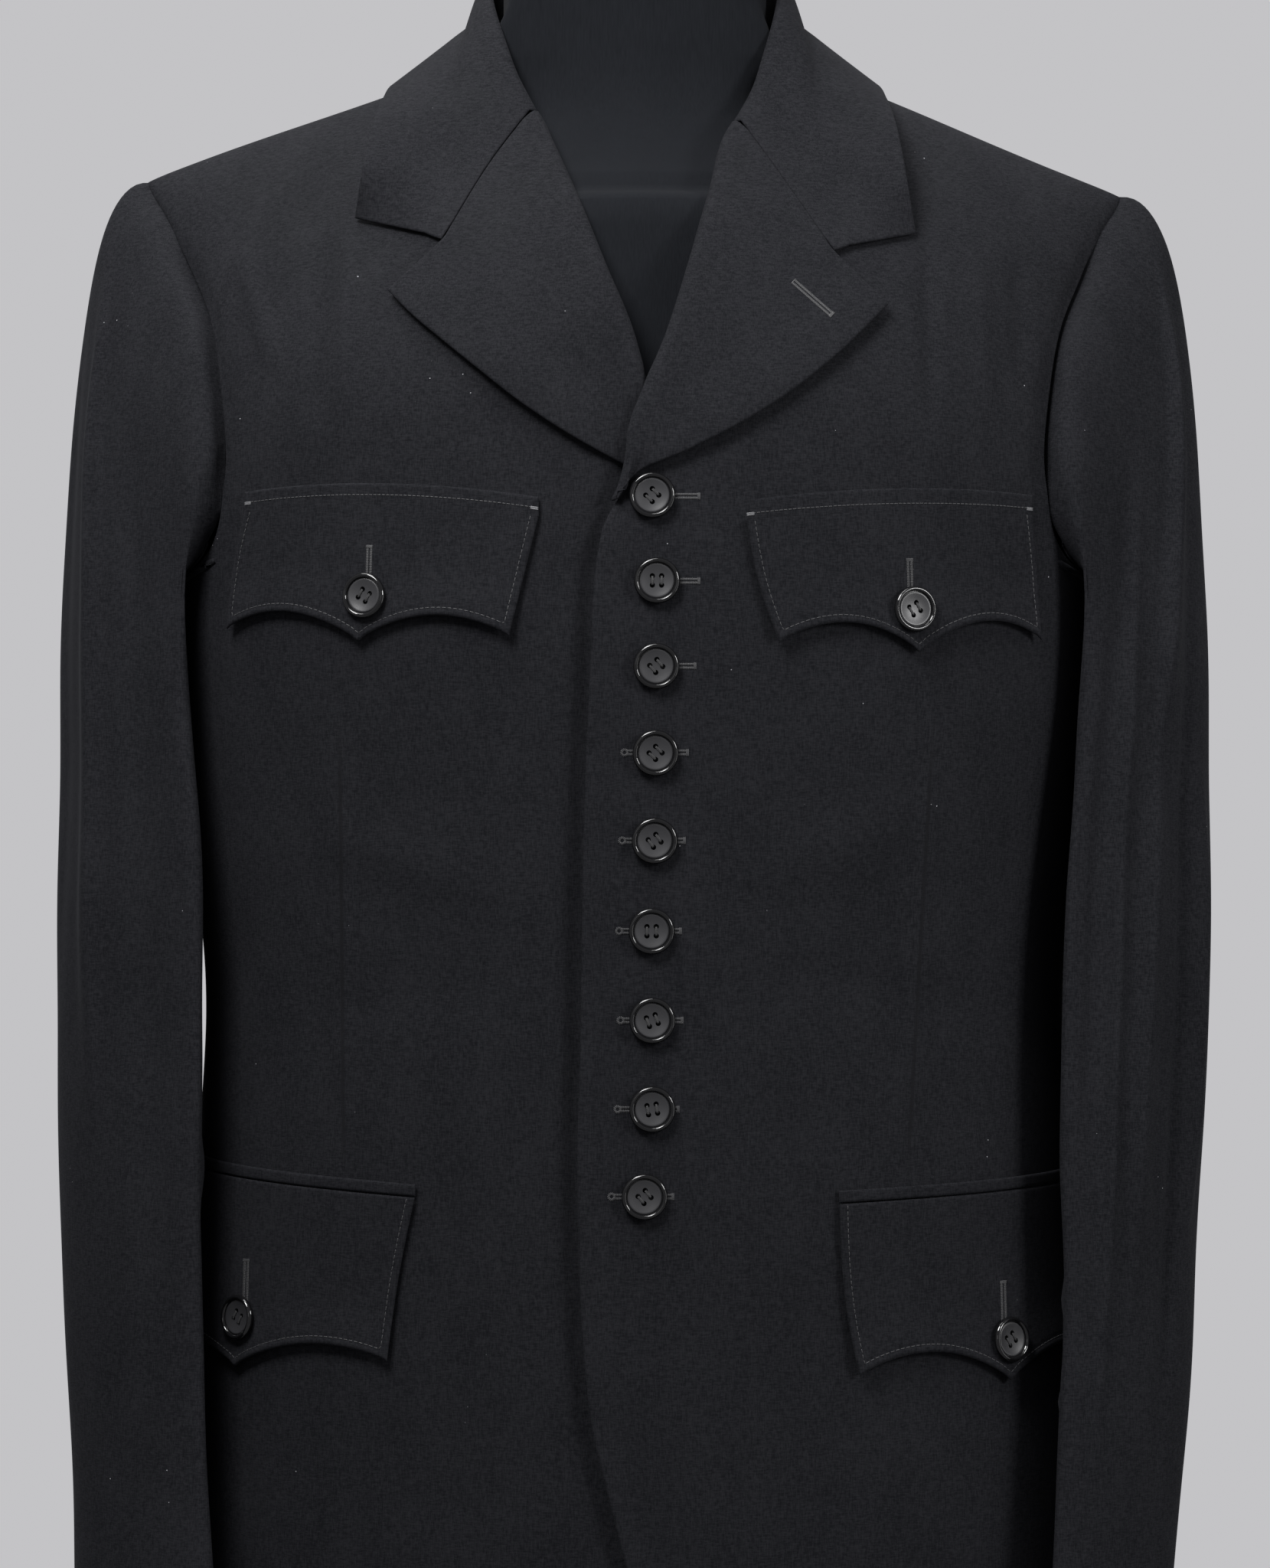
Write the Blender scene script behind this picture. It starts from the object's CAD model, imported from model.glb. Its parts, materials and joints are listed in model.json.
"""How a men's nine-button blazer on a limbless dress form looks.

It is laid out as an add-on: settings, one operator for each group of pieces and one for the
stage, and a panel that lists them. Run as a script it registers them and calls them in order.
Metres, +Z up, the garment faces -Y. Left and right are the wearer's: the wearer's left is +X.
The cloth is drawn through the same section tables as the solids, more finely, as thin sheets
with rounded edges and with the main creases placed by hand.
"""
import json
import bmesh
import bpy
import numpy as np
from math import atan, cos, pi, radians, sin
from mathutils import Matrix, Vector
from mathutils.bvhtree import BVHTree

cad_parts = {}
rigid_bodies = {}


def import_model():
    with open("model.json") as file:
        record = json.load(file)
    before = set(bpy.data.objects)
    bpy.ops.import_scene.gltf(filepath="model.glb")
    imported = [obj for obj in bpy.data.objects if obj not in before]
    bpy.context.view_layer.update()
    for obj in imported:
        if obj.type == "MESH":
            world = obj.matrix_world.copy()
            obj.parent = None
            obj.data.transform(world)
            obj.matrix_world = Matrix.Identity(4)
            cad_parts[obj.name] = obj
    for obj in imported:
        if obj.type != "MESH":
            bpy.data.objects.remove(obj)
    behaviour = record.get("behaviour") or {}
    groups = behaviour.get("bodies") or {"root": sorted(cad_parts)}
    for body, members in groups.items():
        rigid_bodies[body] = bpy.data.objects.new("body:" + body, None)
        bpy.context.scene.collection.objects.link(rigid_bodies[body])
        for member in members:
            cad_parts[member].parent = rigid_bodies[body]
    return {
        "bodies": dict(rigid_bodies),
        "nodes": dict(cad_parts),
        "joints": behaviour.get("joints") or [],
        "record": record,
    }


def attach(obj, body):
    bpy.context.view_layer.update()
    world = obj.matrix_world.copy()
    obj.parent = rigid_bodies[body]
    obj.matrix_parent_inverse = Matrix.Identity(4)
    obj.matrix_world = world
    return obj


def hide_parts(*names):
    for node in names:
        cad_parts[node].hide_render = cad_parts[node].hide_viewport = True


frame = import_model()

bl_info = {
    "name": "Nine-button blazer",
    "version": (1, 0, 0),
    "blender": (4, 5, 0),
    "location": "View3D > Sidebar > Blazer",
    "description": "Draws the cloth, buttons, stitching, form and stage of a blazer",
    "category": "Object",
}

# The part's own sizes and tables, as in its source
SEAM = 0.0003            # gap between neighbouring pieces
ROUND = 2.2              # how full the body's sections are, 2 is an ellipse
SIDE_ANGLE = radians(102)  # where the side seams lie, from the centre front
GIRTH = 0.16             # metres a radian, for measuring curves drawn in angle and height
NECK_X = 0.072           # shoulder seam at the neck
NECK_Z = 0.948
TIP_X = 0.2228           # shoulder seam at the sleeve
TIP_Z = {-1: 0.8945, 1: 0.8880}
FRONT_ROLL = 0.165       # height over which the shoulder rounds to the chest
BACK_ROLL = 0.140
BACK_NECK_RISE = 0.036   # how much higher the back stands behind the neck
ARMHOLE_BOTTOM = 0.705
HEM_Z = 0.190
WALL = 0.0016            # thickness of the cloth walls
BUTTON_RADIUS = 0.0100
BUTTON_HEIGHT = 0.0034
BUTTON_HOLE = 0.00115
BUTTON_PITCH = 0.0040
POLE_RADIUS = 0.0125
BASE_RADIUS = 0.160
BASE_HEIGHT = 0.012
FORM_BOTTOM = 0.168
# Body sections: height, half width, depth in front, depth behind, y of the widest line
BODY = (
    (0.190, 0.2085, 0.1320, 0.1200, 0.000),
    (0.300, 0.2055, 0.1310, 0.1200, 0.000),
    (0.400, 0.2010, 0.1290, 0.1130, 0.000),
    (0.460, 0.1975, 0.1280, 0.1030, 0.000),
    (0.520, 0.1945, 0.1270, 0.0960, 0.000),
    (0.600, 0.1995, 0.1270, 0.0990, 0.000),
    (0.700, 0.2090, 0.1280, 0.1080, 0.000),
    (0.780, 0.2150, 0.1260, 0.1140, 0.003),
    (0.850, 0.2190, 0.1160, 0.1100, 0.008),
    (0.895, 0.2240, 0.1040, 0.1010, 0.010),
    (0.975, 0.2250, 0.0860, 0.0860, 0.010),
)
# Edge of the upper front, hem to neck: x, z
UPPER_EDGE = (
    (0.0300, 0.2130), (0.0130, 0.2330), (0.0010, 0.2650), (-0.0035, 0.2817), (-0.0107, 0.3094),
    (-0.0183, 0.3421), (-0.0220, 0.3752), (-0.0240, 0.4165), (-0.0246, 0.4644),
    (-0.0236, 0.4981), (-0.0226, 0.5635), (-0.0213, 0.6197), (-0.0190, 0.6729),
    (-0.0164, 0.7161), (-0.0124, 0.7346), (-0.0060, 0.7450), (-0.0015, 0.7600),
    (0.0002, 0.7750), (0.0055, 0.7900), (0.0154, 0.8138), (0.0251, 0.8448),
    (0.0346, 0.8789), (0.0444, 0.9116), (0.0515, 0.9212), (0.0610, 0.9330), (0.0720, 0.9480),
)
# Edge of the lower front, hem to neck: distance from the middle towards its own side, z
LOWER_EDGE = (
    (0.0190, 0.2130), (0.0020, 0.2330), (-0.0100, 0.2650), (-0.0145, 0.2817),
    (-0.0217, 0.3094), (-0.0293, 0.3421), (-0.0330, 0.3752), (-0.0350, 0.4165),
    (-0.0356, 0.4644), (-0.0350, 0.5635), (-0.0345, 0.6500), (-0.0340, 0.7080),
    (-0.0300, 0.7270), (-0.0200, 0.7400), (-0.0120, 0.7500), (-0.0085, 0.7600),
    (-0.0060, 0.7700), (-0.0040, 0.7810), (-0.0024, 0.7931), (0.0030, 0.8156),
    (0.0158, 0.8478), (0.0286, 0.8806), (0.0382, 0.9030),
    (0.0455, 0.9186), (0.0610, 0.9330), (0.0720, 0.9480),
)
ARMHOLE_SHARE = 0.655    # share of a front edge's length that lies below the armhole
BACK_SPLIT = 0.715       # height of the centre back's point beside the armhole's lowest one
DROP_START = 0.72        # height from which the wearer's left shoulder hangs lower, and over
DROP_HEIGHT = 0.17       # what height that grows
LAP = 0.0032             # how far the upper front is lifted over the lower one
LAP_SIDE = (0.036, 0.045)  # x from which that lift falls off, and over what width
LAP_TOP = (0.772, 0.045)  # height from which it falls off, and over what height
FLAP_LIFT = (0.0024, 0.0010)  # lift of a flap's face at its top, and how much more at its foot
SLEEVE_GAP = 0.0006      # between a sleeve and its armhole
SLEEVE_CLEAR = 0.0050    # how far a sleeve stays from the body's cloth
CLEAR_SLOPE = 0.45       # how fast it comes to that distance below the armhole
CLEAR_TOP = (0.76, 0.04)  # height above which it need not, and over what height that fades
LIFT_FALL = 1.6          # how soon a lapel lies flat beside its fold
# How the collar turns over its fold: in and down, then out and down
COLLAR_TURN = (0.0012, 0.0040, 0.0026, 0.0018)
COLLAR_BELLY = 0.0048    # how round the collar's fall is
STAND_GAP = 0.0016       # from the neck's edge to the foot of the collar's stand
ROLL_PART = 0.16         # place of the collar's end beside its roll, in the gorge's first cell
# Armhole from its lowest point to the shoulder tip: angle from the centre front, height
ARMHOLE_FRONT = (
    (102.0, 0.7050), (86.0, 0.7068), (71.5, 0.7135), (61.8, 0.7270), (57.3, 0.7595),
    (57.7, 0.7962), (60.7, 0.8300), (65.6, 0.8515), (72.2, 0.8752), (82.6, 0.8945),
)
ARMHOLE_BACK = (
    (102.0, 0.7050), (114.0, 0.7072), (122.0, 0.7160), (126.0, 0.7350), (125.5, 0.7800),
    (122.0, 0.8200), (116.0, 0.8500), (108.5, 0.8750), (97.4, 0.8945),
)
# Sleeve sections: z, outer edge (wearer's right, left), inner side, middle y, depth in front,
# depth behind, how far the front and the back lean in towards the body
SLEEVE = (
    (0.245, 0.2485, 0.2370, 0.1960, -0.055, 0.054, 0.050, 0.034, 0.004),
    (0.350, 0.2530, 0.2480, 0.2035, -0.038, 0.060, 0.054, 0.036, 0.006),
    (0.440, 0.2590, 0.2545, 0.2055, -0.025, 0.066, 0.058, 0.037, 0.008),
    (0.520, 0.2610, 0.2590, 0.2060, -0.014, 0.070, 0.062, 0.038, 0.010),
    (0.600, 0.2615, 0.2605, 0.2090, -0.005, 0.072, 0.067, 0.038, 0.012),
    (0.640, 0.2612, 0.2605, 0.2110, 0.000, 0.073, 0.069, 0.036, 0.012),
)
# Where a sleeve leaves its armhole: place, outward, forward and downward parts of its way out,
# length of that pull, length of the pull where the sleeve hangs
SLEEVE_HEAD = (
    ("bottom", 0.90, 0.00, 0.44, 0.014, 0.030),
    ("front", 0.60, 0.50, 0.62, 0.034, 0.060),
    ("top", 1.0, 0.00, 0.05, 0.027, 0.165),
    ("back", 0.60, -0.50, 0.62, 0.034, 0.060),
)
# Where the collar meets the lapel, from the roll line to the notch: x, z
GORGE = {
    -1: ((0.0450, 0.9180), (0.0627, 0.8936), (0.0832, 0.8590)),
    1: ((0.0450, 0.9130), (0.0640, 0.8860), (0.0856, 0.8540)),
}
# Height of the lower end of the lapels' folds, which follow the fronts' own edges
LAPEL_FOOT = {-1: 0.7600, 1: 0.7425}
FOOT_ROWS = (0.0, 0.0030)  # heights of a fold's first points over that end
# Outer edges of the lapels from the lower end to the tip, x and z
LAPEL_EDGE = {
    -1: ((-0.0010, 0.7552), (0.0135, 0.7622), (0.0330, 0.7736), (0.0498, 0.7851),
         (0.0665, 0.7983), (0.0833, 0.8121), (0.0967, 0.8237), (0.1070, 0.8344)),
    1: ((-0.0044, 0.7476), (-0.0010, 0.7527), (0.0070, 0.7570), (0.0210, 0.7628), (0.0560, 0.7818),
        (0.0880, 0.8065), (0.1094, 0.8280)),
}
# How the cloth turns over at the roll line: distance from it and lift, of its face and lining
TURN_OVER = (
    (-0.0017, -0.0018, -0.0005, -0.0006),
    (-0.0027, 0.0006, -0.0011, 0.0008),
    (-0.0017, 0.0030, -0.0005, 0.0019),
)
FOLD_LIFT = 0.0042       # lift of a lapel's face beside its fold
REST_LIFT = 0.0026       # and where it lies flat
# Buttons down the front: x, z
FRONT_BUTTONS = (
    (0.0074, 0.7443), (0.0094, 0.7076), (0.0091, 0.6709), (0.0088, 0.6335), (0.0084, 0.5955),
    (0.0071, 0.5565), (0.0074, 0.5179), (0.0074, 0.4796), (0.0041, 0.4419),
)
# Pocket flaps: name, side, x and z of the top's middle, widths at the top and bottom, shift of the
# bottom outwards, rise of the top's outer end and drop of both ends, depths of the inner corner,
# middle point and outer corner, rise of the two arcs between them, how far the inner and the
# outer side bow, z of the button
FLAPS = (
    ("chest_flap_right", -1, (0.1091, 0.7422), (0.1380, 0.1380), 0.0136,
     (0.0022, 0.0040), (0.0586, 0.0600, 0.0537), 0.0100, (0.0000, 0.0026), 0.7017),
    ("chest_flap_left", 1, (0.1140, 0.7385), (0.1357, 0.1293), 0.0122,
     (0.0023, 0.0025), (0.0577, 0.0612, 0.0549), 0.0108, (0.0021, 0.0010), 0.6960),
    ("hip_flap_right", -1, (0.1652, 0.4452), (0.1620, 0.1572), 0.0072,
     (0.0045, 0.0002), (0.0757, 0.0820, 0.0775), 0.0090, (-0.0014, 0.0000), 0.3848),
    ("hip_flap_left", 1, (0.1600, 0.4409), (0.1620, 0.1470), -0.0010,
     (0.0030, 0.0000), (0.0778, 0.0828, 0.0785), 0.0118, (0.0023, 0.0000), 0.3760),
)
# Bands over the flaps: name, flap, height, how much its middle rises
BANDS = (
    ("chest_band_right", 0, 0.0074, 0.0004),
    ("chest_band_left", 1, 0.0082, 0.0012),
    ("hip_welt_right", 2, 0.0052, 0.0000),
    ("hip_welt_left", 3, 0.0052, 0.0000),
)
# The form that the cloth hangs on: height, half width, share of the cloth's depth
FORM = (
    (0.168, 0.150, 0.76), (0.173, 0.172, 0.87), (0.260, 0.184, 0.90), (0.400, 0.182, 0.90),
    (0.460, 0.178, 0.90), (0.520, 0.176, 0.90), (0.600, 0.180, 0.91), (0.700, 0.188, 0.92),
    (0.780, 0.193, 0.93), (0.850, 0.196, 0.92), (0.880, 0.198, 0.88), (0.950, 0.198, 0.70),
)
FORM_ROWS = (0.168, 0.173, 0.260, 0.340, 0.430, 0.520, 0.600, 0.680, 0.740, 0.790, 0.830, 0.860,
             0.880, 0.893, 0.904, 0.915, 0.926, 0.935)
FORM_DROP = 0.0032       # how far the form's shoulders lie under the face of the cloth
# The form's neck: height, half width, half depth, middle y
FORM_NECK = (
    (0.9200, 0.0715, 0.0540, 0.008), (0.9430, 0.0636, 0.0500, 0.008),
    (0.9560, 0.0606, 0.0490, 0.008), (0.9760, 0.0598, 0.0485, 0.008),
    (1.0100, 0.0598, 0.0495, 0.006),
)
NECK_CAP = 0.018         # height of the cap on the form's neck
# Collar: place along its seam, x, y and z of its fold, of the fall's middle and of its edge
COLLAR = (
    (0.00, (0.0000, 0.0680, 0.9990), (0.0000, 0.0800, 0.9790), (0.0000, 0.0960, 0.9480)),
    (0.25, (0.0403, 0.0560, 0.9975), (0.0470, 0.0650, 0.9775), (0.0560, 0.0780, 0.9460)),
    (0.45, (0.0611, 0.0310, 0.9940), (0.0700, 0.0370, 0.9720), (0.0960, 0.0430, 0.9430)),
    (0.585, (0.0660, 0.0090, 0.9890), (0.0752, 0.0090, 0.9660), (0.1105, 0.0080, 0.9385)),
    (0.70, (0.0643, -0.0180, 0.9733), (0.0800, -0.0240, 0.9480), (0.1150, -0.0330, 0.9240)),
    (0.85, (0.0570, -0.0400, 0.9470), (0.0820, -0.0540, 0.9140), (0.1190, -0.0600, 0.9020)),
    (1.00, (0.0463, -0.0560, 0.9165), (0.0844, -0.0820, 0.8572), (0.1236, -0.0800, 0.8655)),
)
COLLAR_SAG = 0.0035      # how much lower the collar hangs at the wearer's left front
COLLAR_STATIONS = 12
COLLAR_GAP = 0.0010      # from the neck's edge and from the body under the fall
# How far each front button is turned on its thread, in degrees
BUTTON_TURNS = (45, 0, 40, 45, 35, 0, 20, 10, 40)
BAND_GAP = 0.0006        # from a flap's top to its band

# How much finer the sections are drawn than the solids' ones
FINER = 3
SIDE_ROWS = 9 * FINER
FRONT_ARM_ROWS = 15 * FINER
BACK_ARM_ROWS = 13 * FINER
FRONT_COLUMNS = 12 * FINER
NECK_COLUMNS = 4 * FINER
SHOULDER_COLUMNS = 6 * FINER
HANG_ROWS = 8 * FINER
GORGE_CELLS = 4 * FINER
NOTCH_CELLS = 3 * FINER
EDGE_CELLS = 2 * FINER
# Places of the collar's points across its fall, and of a sleeve's rings down its head
FALL_PARTS = np.interp(np.linspace(0, 4, GORGE_CELLS + 1), range(5), (0.10, 0.30, 0.53, 0.77, 1.0))
HEAD_RINGS = (0.0, 0.02, 0.04, 0.06, 0.095, 0.13, 0.175, 0.22, 0.275, 0.33, 0.395, 0.46,
              0.54, 0.62, 0.71, 0.80)

# How the cloth is drawn: places of the cells beside a rounded edge, in metres from the edge
EDGE_STEPS = (0.0, 0.00015, 0.0004, 0.0008, 0.0014, 0.0024)
CELL = {"front": (0.0030, 0.0034), "back": (0.0032, 0.0040), "sleeve": (0.0024, 0.0038),
        "lapel": (0.0016, 0.0022), "collar": (0.0022, 0.0036), "flap": (0.0016, 0.0011),
        "band": (0.0016, 0.0008)}

# Soft folds in the body's cloth: side, behind, width to the left and right of the line, height,
# and the line's points, x and z
BODY_FOLDS = (
    (1, False, 0.0036, 0.0042, -0.0013, ((0.1290, 0.872), (0.1292, 0.840), (0.1300, 0.765))),
    (1, False, 0.0040, 0.0045, -0.0011, ((0.1695, 0.862), (0.1705, 0.830), (0.1720, 0.795))),
    (1, False, 0.0050, 0.0045, 0.0010, ((0.1500, 0.862), (0.1530, 0.820), (0.1560, 0.775))),
    (-1, False, 0.0042, 0.0036, -0.0013, ((0.1364, 0.872), (0.1378, 0.820), (0.1385, 0.765))),
    (-1, False, 0.0036, 0.0045, 0.0011, ((0.1262, 0.870), (0.1272, 0.815), (0.1285, 0.768))),
    (-1, False, 0.0045, 0.0050, 0.0011, ((0.1770, 0.862), (0.1680, 0.830), (0.1560, 0.795))),
    (1, False, 0.0100, 0.0140, 0.0007, ((0.0450, 0.575), (0.0800, 0.590), (0.1350, 0.612))),
    (-1, False, 0.0120, 0.0100, 0.0007, ((0.0450, 0.566), (0.0900, 0.583), (0.1450, 0.600))),
    (1, False, 0.0110, 0.0150, -0.0006, ((0.0460, 0.540), (0.1000, 0.532), (0.1600, 0.520))),
    (-1, False, 0.0150, 0.0110, -0.0006, ((0.0460, 0.536), (0.1000, 0.528), (0.1500, 0.515))),
    (1, False, 0.0090, 0.0160, -0.0007, ((0.0700, 0.425), (0.0820, 0.350), (0.0900, 0.270))),
    (-1, False, 0.0160, 0.0100, -0.0007, ((0.0640, 0.420), (0.0740, 0.350), (0.0800, 0.265))),
    (1, False, 0.0050, 0.0050, 0.0008, ((0.1300, 0.645), (0.1220, 0.488), (0.1190, 0.450))),
    (-1, False, 0.0050, 0.0050, 0.0008, ((0.1290, 0.648), (0.1280, 0.540), (0.1270, 0.450))),
    (1, True, 0.0120, 0.0180, 0.0016, ((0.1560, 0.860), (0.1480, 0.790), (0.1400, 0.700))),
    (-1, True, 0.0180, 0.0120, 0.0015, ((0.1600, 0.858), (0.1500, 0.795), (0.1440, 0.715))),
    (1, True, 0.0140, 0.0100, -0.0013, ((0.1800, 0.820), (0.1740, 0.750), (0.1660, 0.690))),
    (-1, True, 0.0100, 0.0150, -0.0012, ((0.1820, 0.815), (0.1760, 0.755), (0.1680, 0.700))),
    (1, True, 0.0100, 0.0150, 0.0012, ((0.0250, 0.555), (0.0800, 0.560), (0.1500, 0.548))),
    (-1, True, 0.0140, 0.0100, 0.0011, ((0.0200, 0.530), (0.0800, 0.536), (0.1450, 0.528))),
    (1, True, 0.0200, 0.0160, -0.0016, ((0.0900, 0.420), (0.1000, 0.330), (0.1060, 0.200))),
    (-1, True, 0.0160, 0.0200, -0.0015, ((0.0860, 0.430), (0.0960, 0.335), (0.1020, 0.200))),
)
# Soft folds of the sleeves: side, widths, height, and the line's points, degrees round the sleeve
# from its outer edge to the front, and z
SLEEVE_FOLDS = (
    (1, 0.0036, 0.0044, 0.0024, ((62, 0.780), (63, 0.640), (66, 0.500), (68, 0.360), (69, 0.300))),
    (1, 0.0040, 0.0036, -0.0024, ((30, 0.740), (31, 0.620), (33, 0.480), (34, 0.350), (34, 0.290))),
    (1, 0.0120, 0.0120, 0.0018, ((180, 0.620), (181, 0.530), (182, 0.440))),
    (-1, 0.0042, 0.0070, 0.0039, ((30, 0.880), (39, 0.817), (40, 0.700), (38, 0.560), (36, 0.440))),
    (-1, 0.0120, 0.0090, -0.0019,
     ((66, 0.800), (64, 0.690), (62, 0.560), (64, 0.440), (66, 0.330))),
    (-1, 0.0100, 0.0120, 0.0018, ((92, 0.720), (94, 0.600), (96, 0.500), (92, 0.400))),
    (-1, 0.0100, 0.0070, -0.0014, ((12, 0.860), (14, 0.760), (16, 0.640), (14, 0.500))),
    (-1, 0.0090, 0.0130, 0.0016, ((118, 0.470), (132, 0.440), (160, 0.425))),
    (-1, 0.0090, 0.0070, -0.0022, ((110, 0.440), (130, 0.412), (165, 0.400))),
    (-1, 0.0120, 0.0120, 0.0022, ((-40, 0.840), (-46, 0.720), (-44, 0.600), (-50, 0.480))),
    (-1, 0.0140, 0.0100, -0.0020, ((-78, 0.780), (-74, 0.640), (-80, 0.500), (-76, 0.360))),
    (1, 0.0042, 0.0070, 0.0034, ((36, 0.868), (38, 0.829), (38, 0.776), (43, 0.700), (48, 0.620))),
    (1, 0.0042, 0.0070, 0.0042, ((47, 0.660), (50, 0.575), (53, 0.500), (54, 0.455), (51, 0.380))),
    (1, 0.0050, 0.0050, 0.0024, ((20, 0.640), (20, 0.566), (21, 0.469), (24, 0.400))),
    (1, 0.0090, 0.0120, -0.0020, ((66, 0.800), (70, 0.700), (74, 0.600), (78, 0.500), (80, 0.400))),
    (1, 0.0110, 0.0080, 0.0018, ((96, 0.640), (100, 0.540), (104, 0.450), (100, 0.390))),
    (1, 0.0050, 0.0060, -0.0034, ((104, 0.374), (130, 0.366), (160, 0.362), (190, 0.360))),
    (1, 0.0080, 0.0070, 0.0024, ((112, 0.352), (140, 0.346), (175, 0.343))),
    (1, 0.0090, 0.0080, 0.0019, ((108, 0.398), (135, 0.390), (170, 0.384))),
    (1, 0.0120, 0.0120, 0.0022, ((-42, 0.838), (-44, 0.700), (-50, 0.580), (-48, 0.450))),
    (1, 0.0100, 0.0140, -0.0022, ((-76, 0.760), (-80, 0.630), (-74, 0.520), (-78, 0.380))),
)
SLEEVE_TURN = 0.062      # metres a radian round a sleeve
# Slow unevenness of pressed cloth: waves a metre along x and z, height
SLOW_WAVES = ((41.0, 17.0, 0.00022), (-23.0, 37.0, 0.00020), (12.0, -61.0, 0.00014))
SEAM_DIP = 0.0009        # how much the cloth sinks beside a seam, and over what distance
SEAM_REACH = 0.0022
ARM_DIPS = (0.0019, 0.0048)  # the same at the armholes, in the body and in the sleeves
ARM_REACH = 0.0072
ARM_ENDS = (0.735, 0.850)  # heights between which the armholes' grooves are deep
EDGE_RISE = 0.0020       # how far the front edge on top stands off, and over what distance
EDGE_REACH = 0.016
EDGE_TOP = 0.742         # height below which it stands off
UNDER_LAPEL = (0.0016, 0.738)  # how deep that edge sinks beneath the lapel, and from what height
LAP_DIP = 0.0034         # how deep the front beneath sinks beside that edge, and how far from it
LAP_REACH = 0.0038
LAP_SHIFT = 0.0008       # how far towards the wearer's right the dip's bottom lies
DIP_TOP = 0.790          # height below which the front beneath sinks
SLEEVE_TUCK = 0.0030     # how far a sleeve goes on inside its armhole
UNDER_ARM = 0.722        # height below which a sleeve's head is fitted closely
HEAD_DROP = 0.0022       # how far the head's rings lie further out there
TUCK_RISE = 0.0020       # and how far its tuck does
SLEEVE_AXIS = (0.2330, -0.012)  # a sleeve's middle, outwards and forwards
LAPEL_OFF = 0.0024       # how far a lapel's outer edge stands off the chest
LAPEL_BELLY = 0.0006     # and how round its middle is
UNDER_PASS = (-0.0040, 0.7650)  # where the right lapel passes under the left one
FORM_SEAM = 0.8810       # height of the seam across the form's chest
FORM_SEAM_ROWS = (-0.004, -0.002, -0.001, -0.0004, 0.0, 0.0004, 0.001, 0.002, 0.004)
FORM_SEAM_DIP = (0.0005, 0.0007)  # how deep that seam is, and how far it reaches
NECK_FLOW = (0.918, 0.990)  # heights between which the neck's front flows into the chest
NECK_ROUNDS = 120        # how often that front is evened out

# Right and left ends of the front buttonholes, as x
HOLE_ENDS = ((0.0273, 0.0020), (0.0273, 0.0020), (0.0256, 0.0020), (0.0223, -0.0038),
             (0.0210, -0.0048), (0.0193, -0.0061), (0.0200, -0.0055), (0.0183, -0.0068),
             (0.0160, -0.0094))
# Both ends of the lapel's buttonhole as x and z, and the lengths of the flaps' ones
LAPEL_HOLE = ((0.0693, 0.8391), (0.0854, 0.8247))
FLAP_HOLE = {"chest": 0.0212, "hip": 0.0250}
PURL_PITCH = 0.00048     # from one purl of a buttonhole to the next
PURL = (0.00022, 0.00135)  # both ends of a purl, beside the hole's middle line
BAR = 0.0016             # half the length of the bar at a hole's end
EYELET = (0.0007, 0.0019, 14)  # inner and outer reach of an eyelet's purls, and their number

# Tones of the looks: wool, threads, lint, darts and horn
WOOL_DARK = (0.0023, 0.0024, 0.0030)
WOOL_LIGHT = (0.0060, 0.0061, 0.0071)
THREAD_TONE = (0.0080, 0.0080, 0.0089)
TACK_TONE = (0.050, 0.050, 0.053)  # the bar tacks'
LINT = (0.16, 0.16, 0.17)
DART_DARK = (0.003, 0.003, 0.0035)
HORN_DARK = (0.0020, 0.0020, 0.0022)
HORN_LIGHT = (0.0095, 0.0095, 0.0104)
# Darts of the fronts: x where the height is zero, slope of x over height, lower and upper end
DARTS = ((0.0930, 0.0575, 0.450, 0.645), (-0.1228, -0.0095, 0.450, 0.648))


class BlazerClothSettings(bpy.types.PropertyGroup):
    """How the cloth and its sewing are drawn."""

    thickness: bpy.props.FloatProperty(
        name="Thickness", description="Thickness of the cloth sheets",
        default=0.0015, min=0.0005, max=0.003, subtype="DISTANCE", unit="LENGTH")
    edge_radius: bpy.props.FloatProperty(
        name="Edge", description="Distance over which an edge is rounded",
        default=0.0011, min=0.0002, max=0.004, subtype="DISTANCE", unit="LENGTH")
    fold_strength: bpy.props.FloatProperty(
        name="Folds", description="How strong the soft folds are", default=1.5, min=0.0, max=2.0)
    stitch_length: bpy.props.FloatProperty(
        name="Stitch", description="Length of a topstitch",
        default=0.0019, min=0.0005, max=0.006, subtype="DISTANCE", unit="LENGTH")
    stitch_pitch: bpy.props.FloatProperty(
        name="Pitch", description="Distance from one topstitch to the next",
        default=0.0025, min=0.0008, max=0.008, subtype="DISTANCE", unit="LENGTH")
    stitch_inset: bpy.props.FloatProperty(
        name="Inset", description="Distance of the topstitching from a flap's edge",
        default=0.0036, min=0.001, max=0.01, subtype="DISTANCE", unit="LENGTH")
    thread: bpy.props.FloatProperty(
        name="Thread", description="Radius of the sewing thread",
        default=0.00018, min=0.00005, max=0.001, subtype="DISTANCE", unit="LENGTH")


class BlazerButtonSettings(bpy.types.PropertyGroup):
    """How the buttons are drawn."""

    steps: bpy.props.IntProperty(
        name="Steps", description="Steps round a button", default=64, min=12, max=128)
    gloss: bpy.props.FloatProperty(
        name="Rim", description="Roughness of a button's polished rim",
        default=0.08, min=0.0, max=1.0)
    dish: bpy.props.FloatProperty(
        name="Dish", description="Roughness of a button's hollow middle",
        default=0.40, min=0.0, max=1.0)


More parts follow.
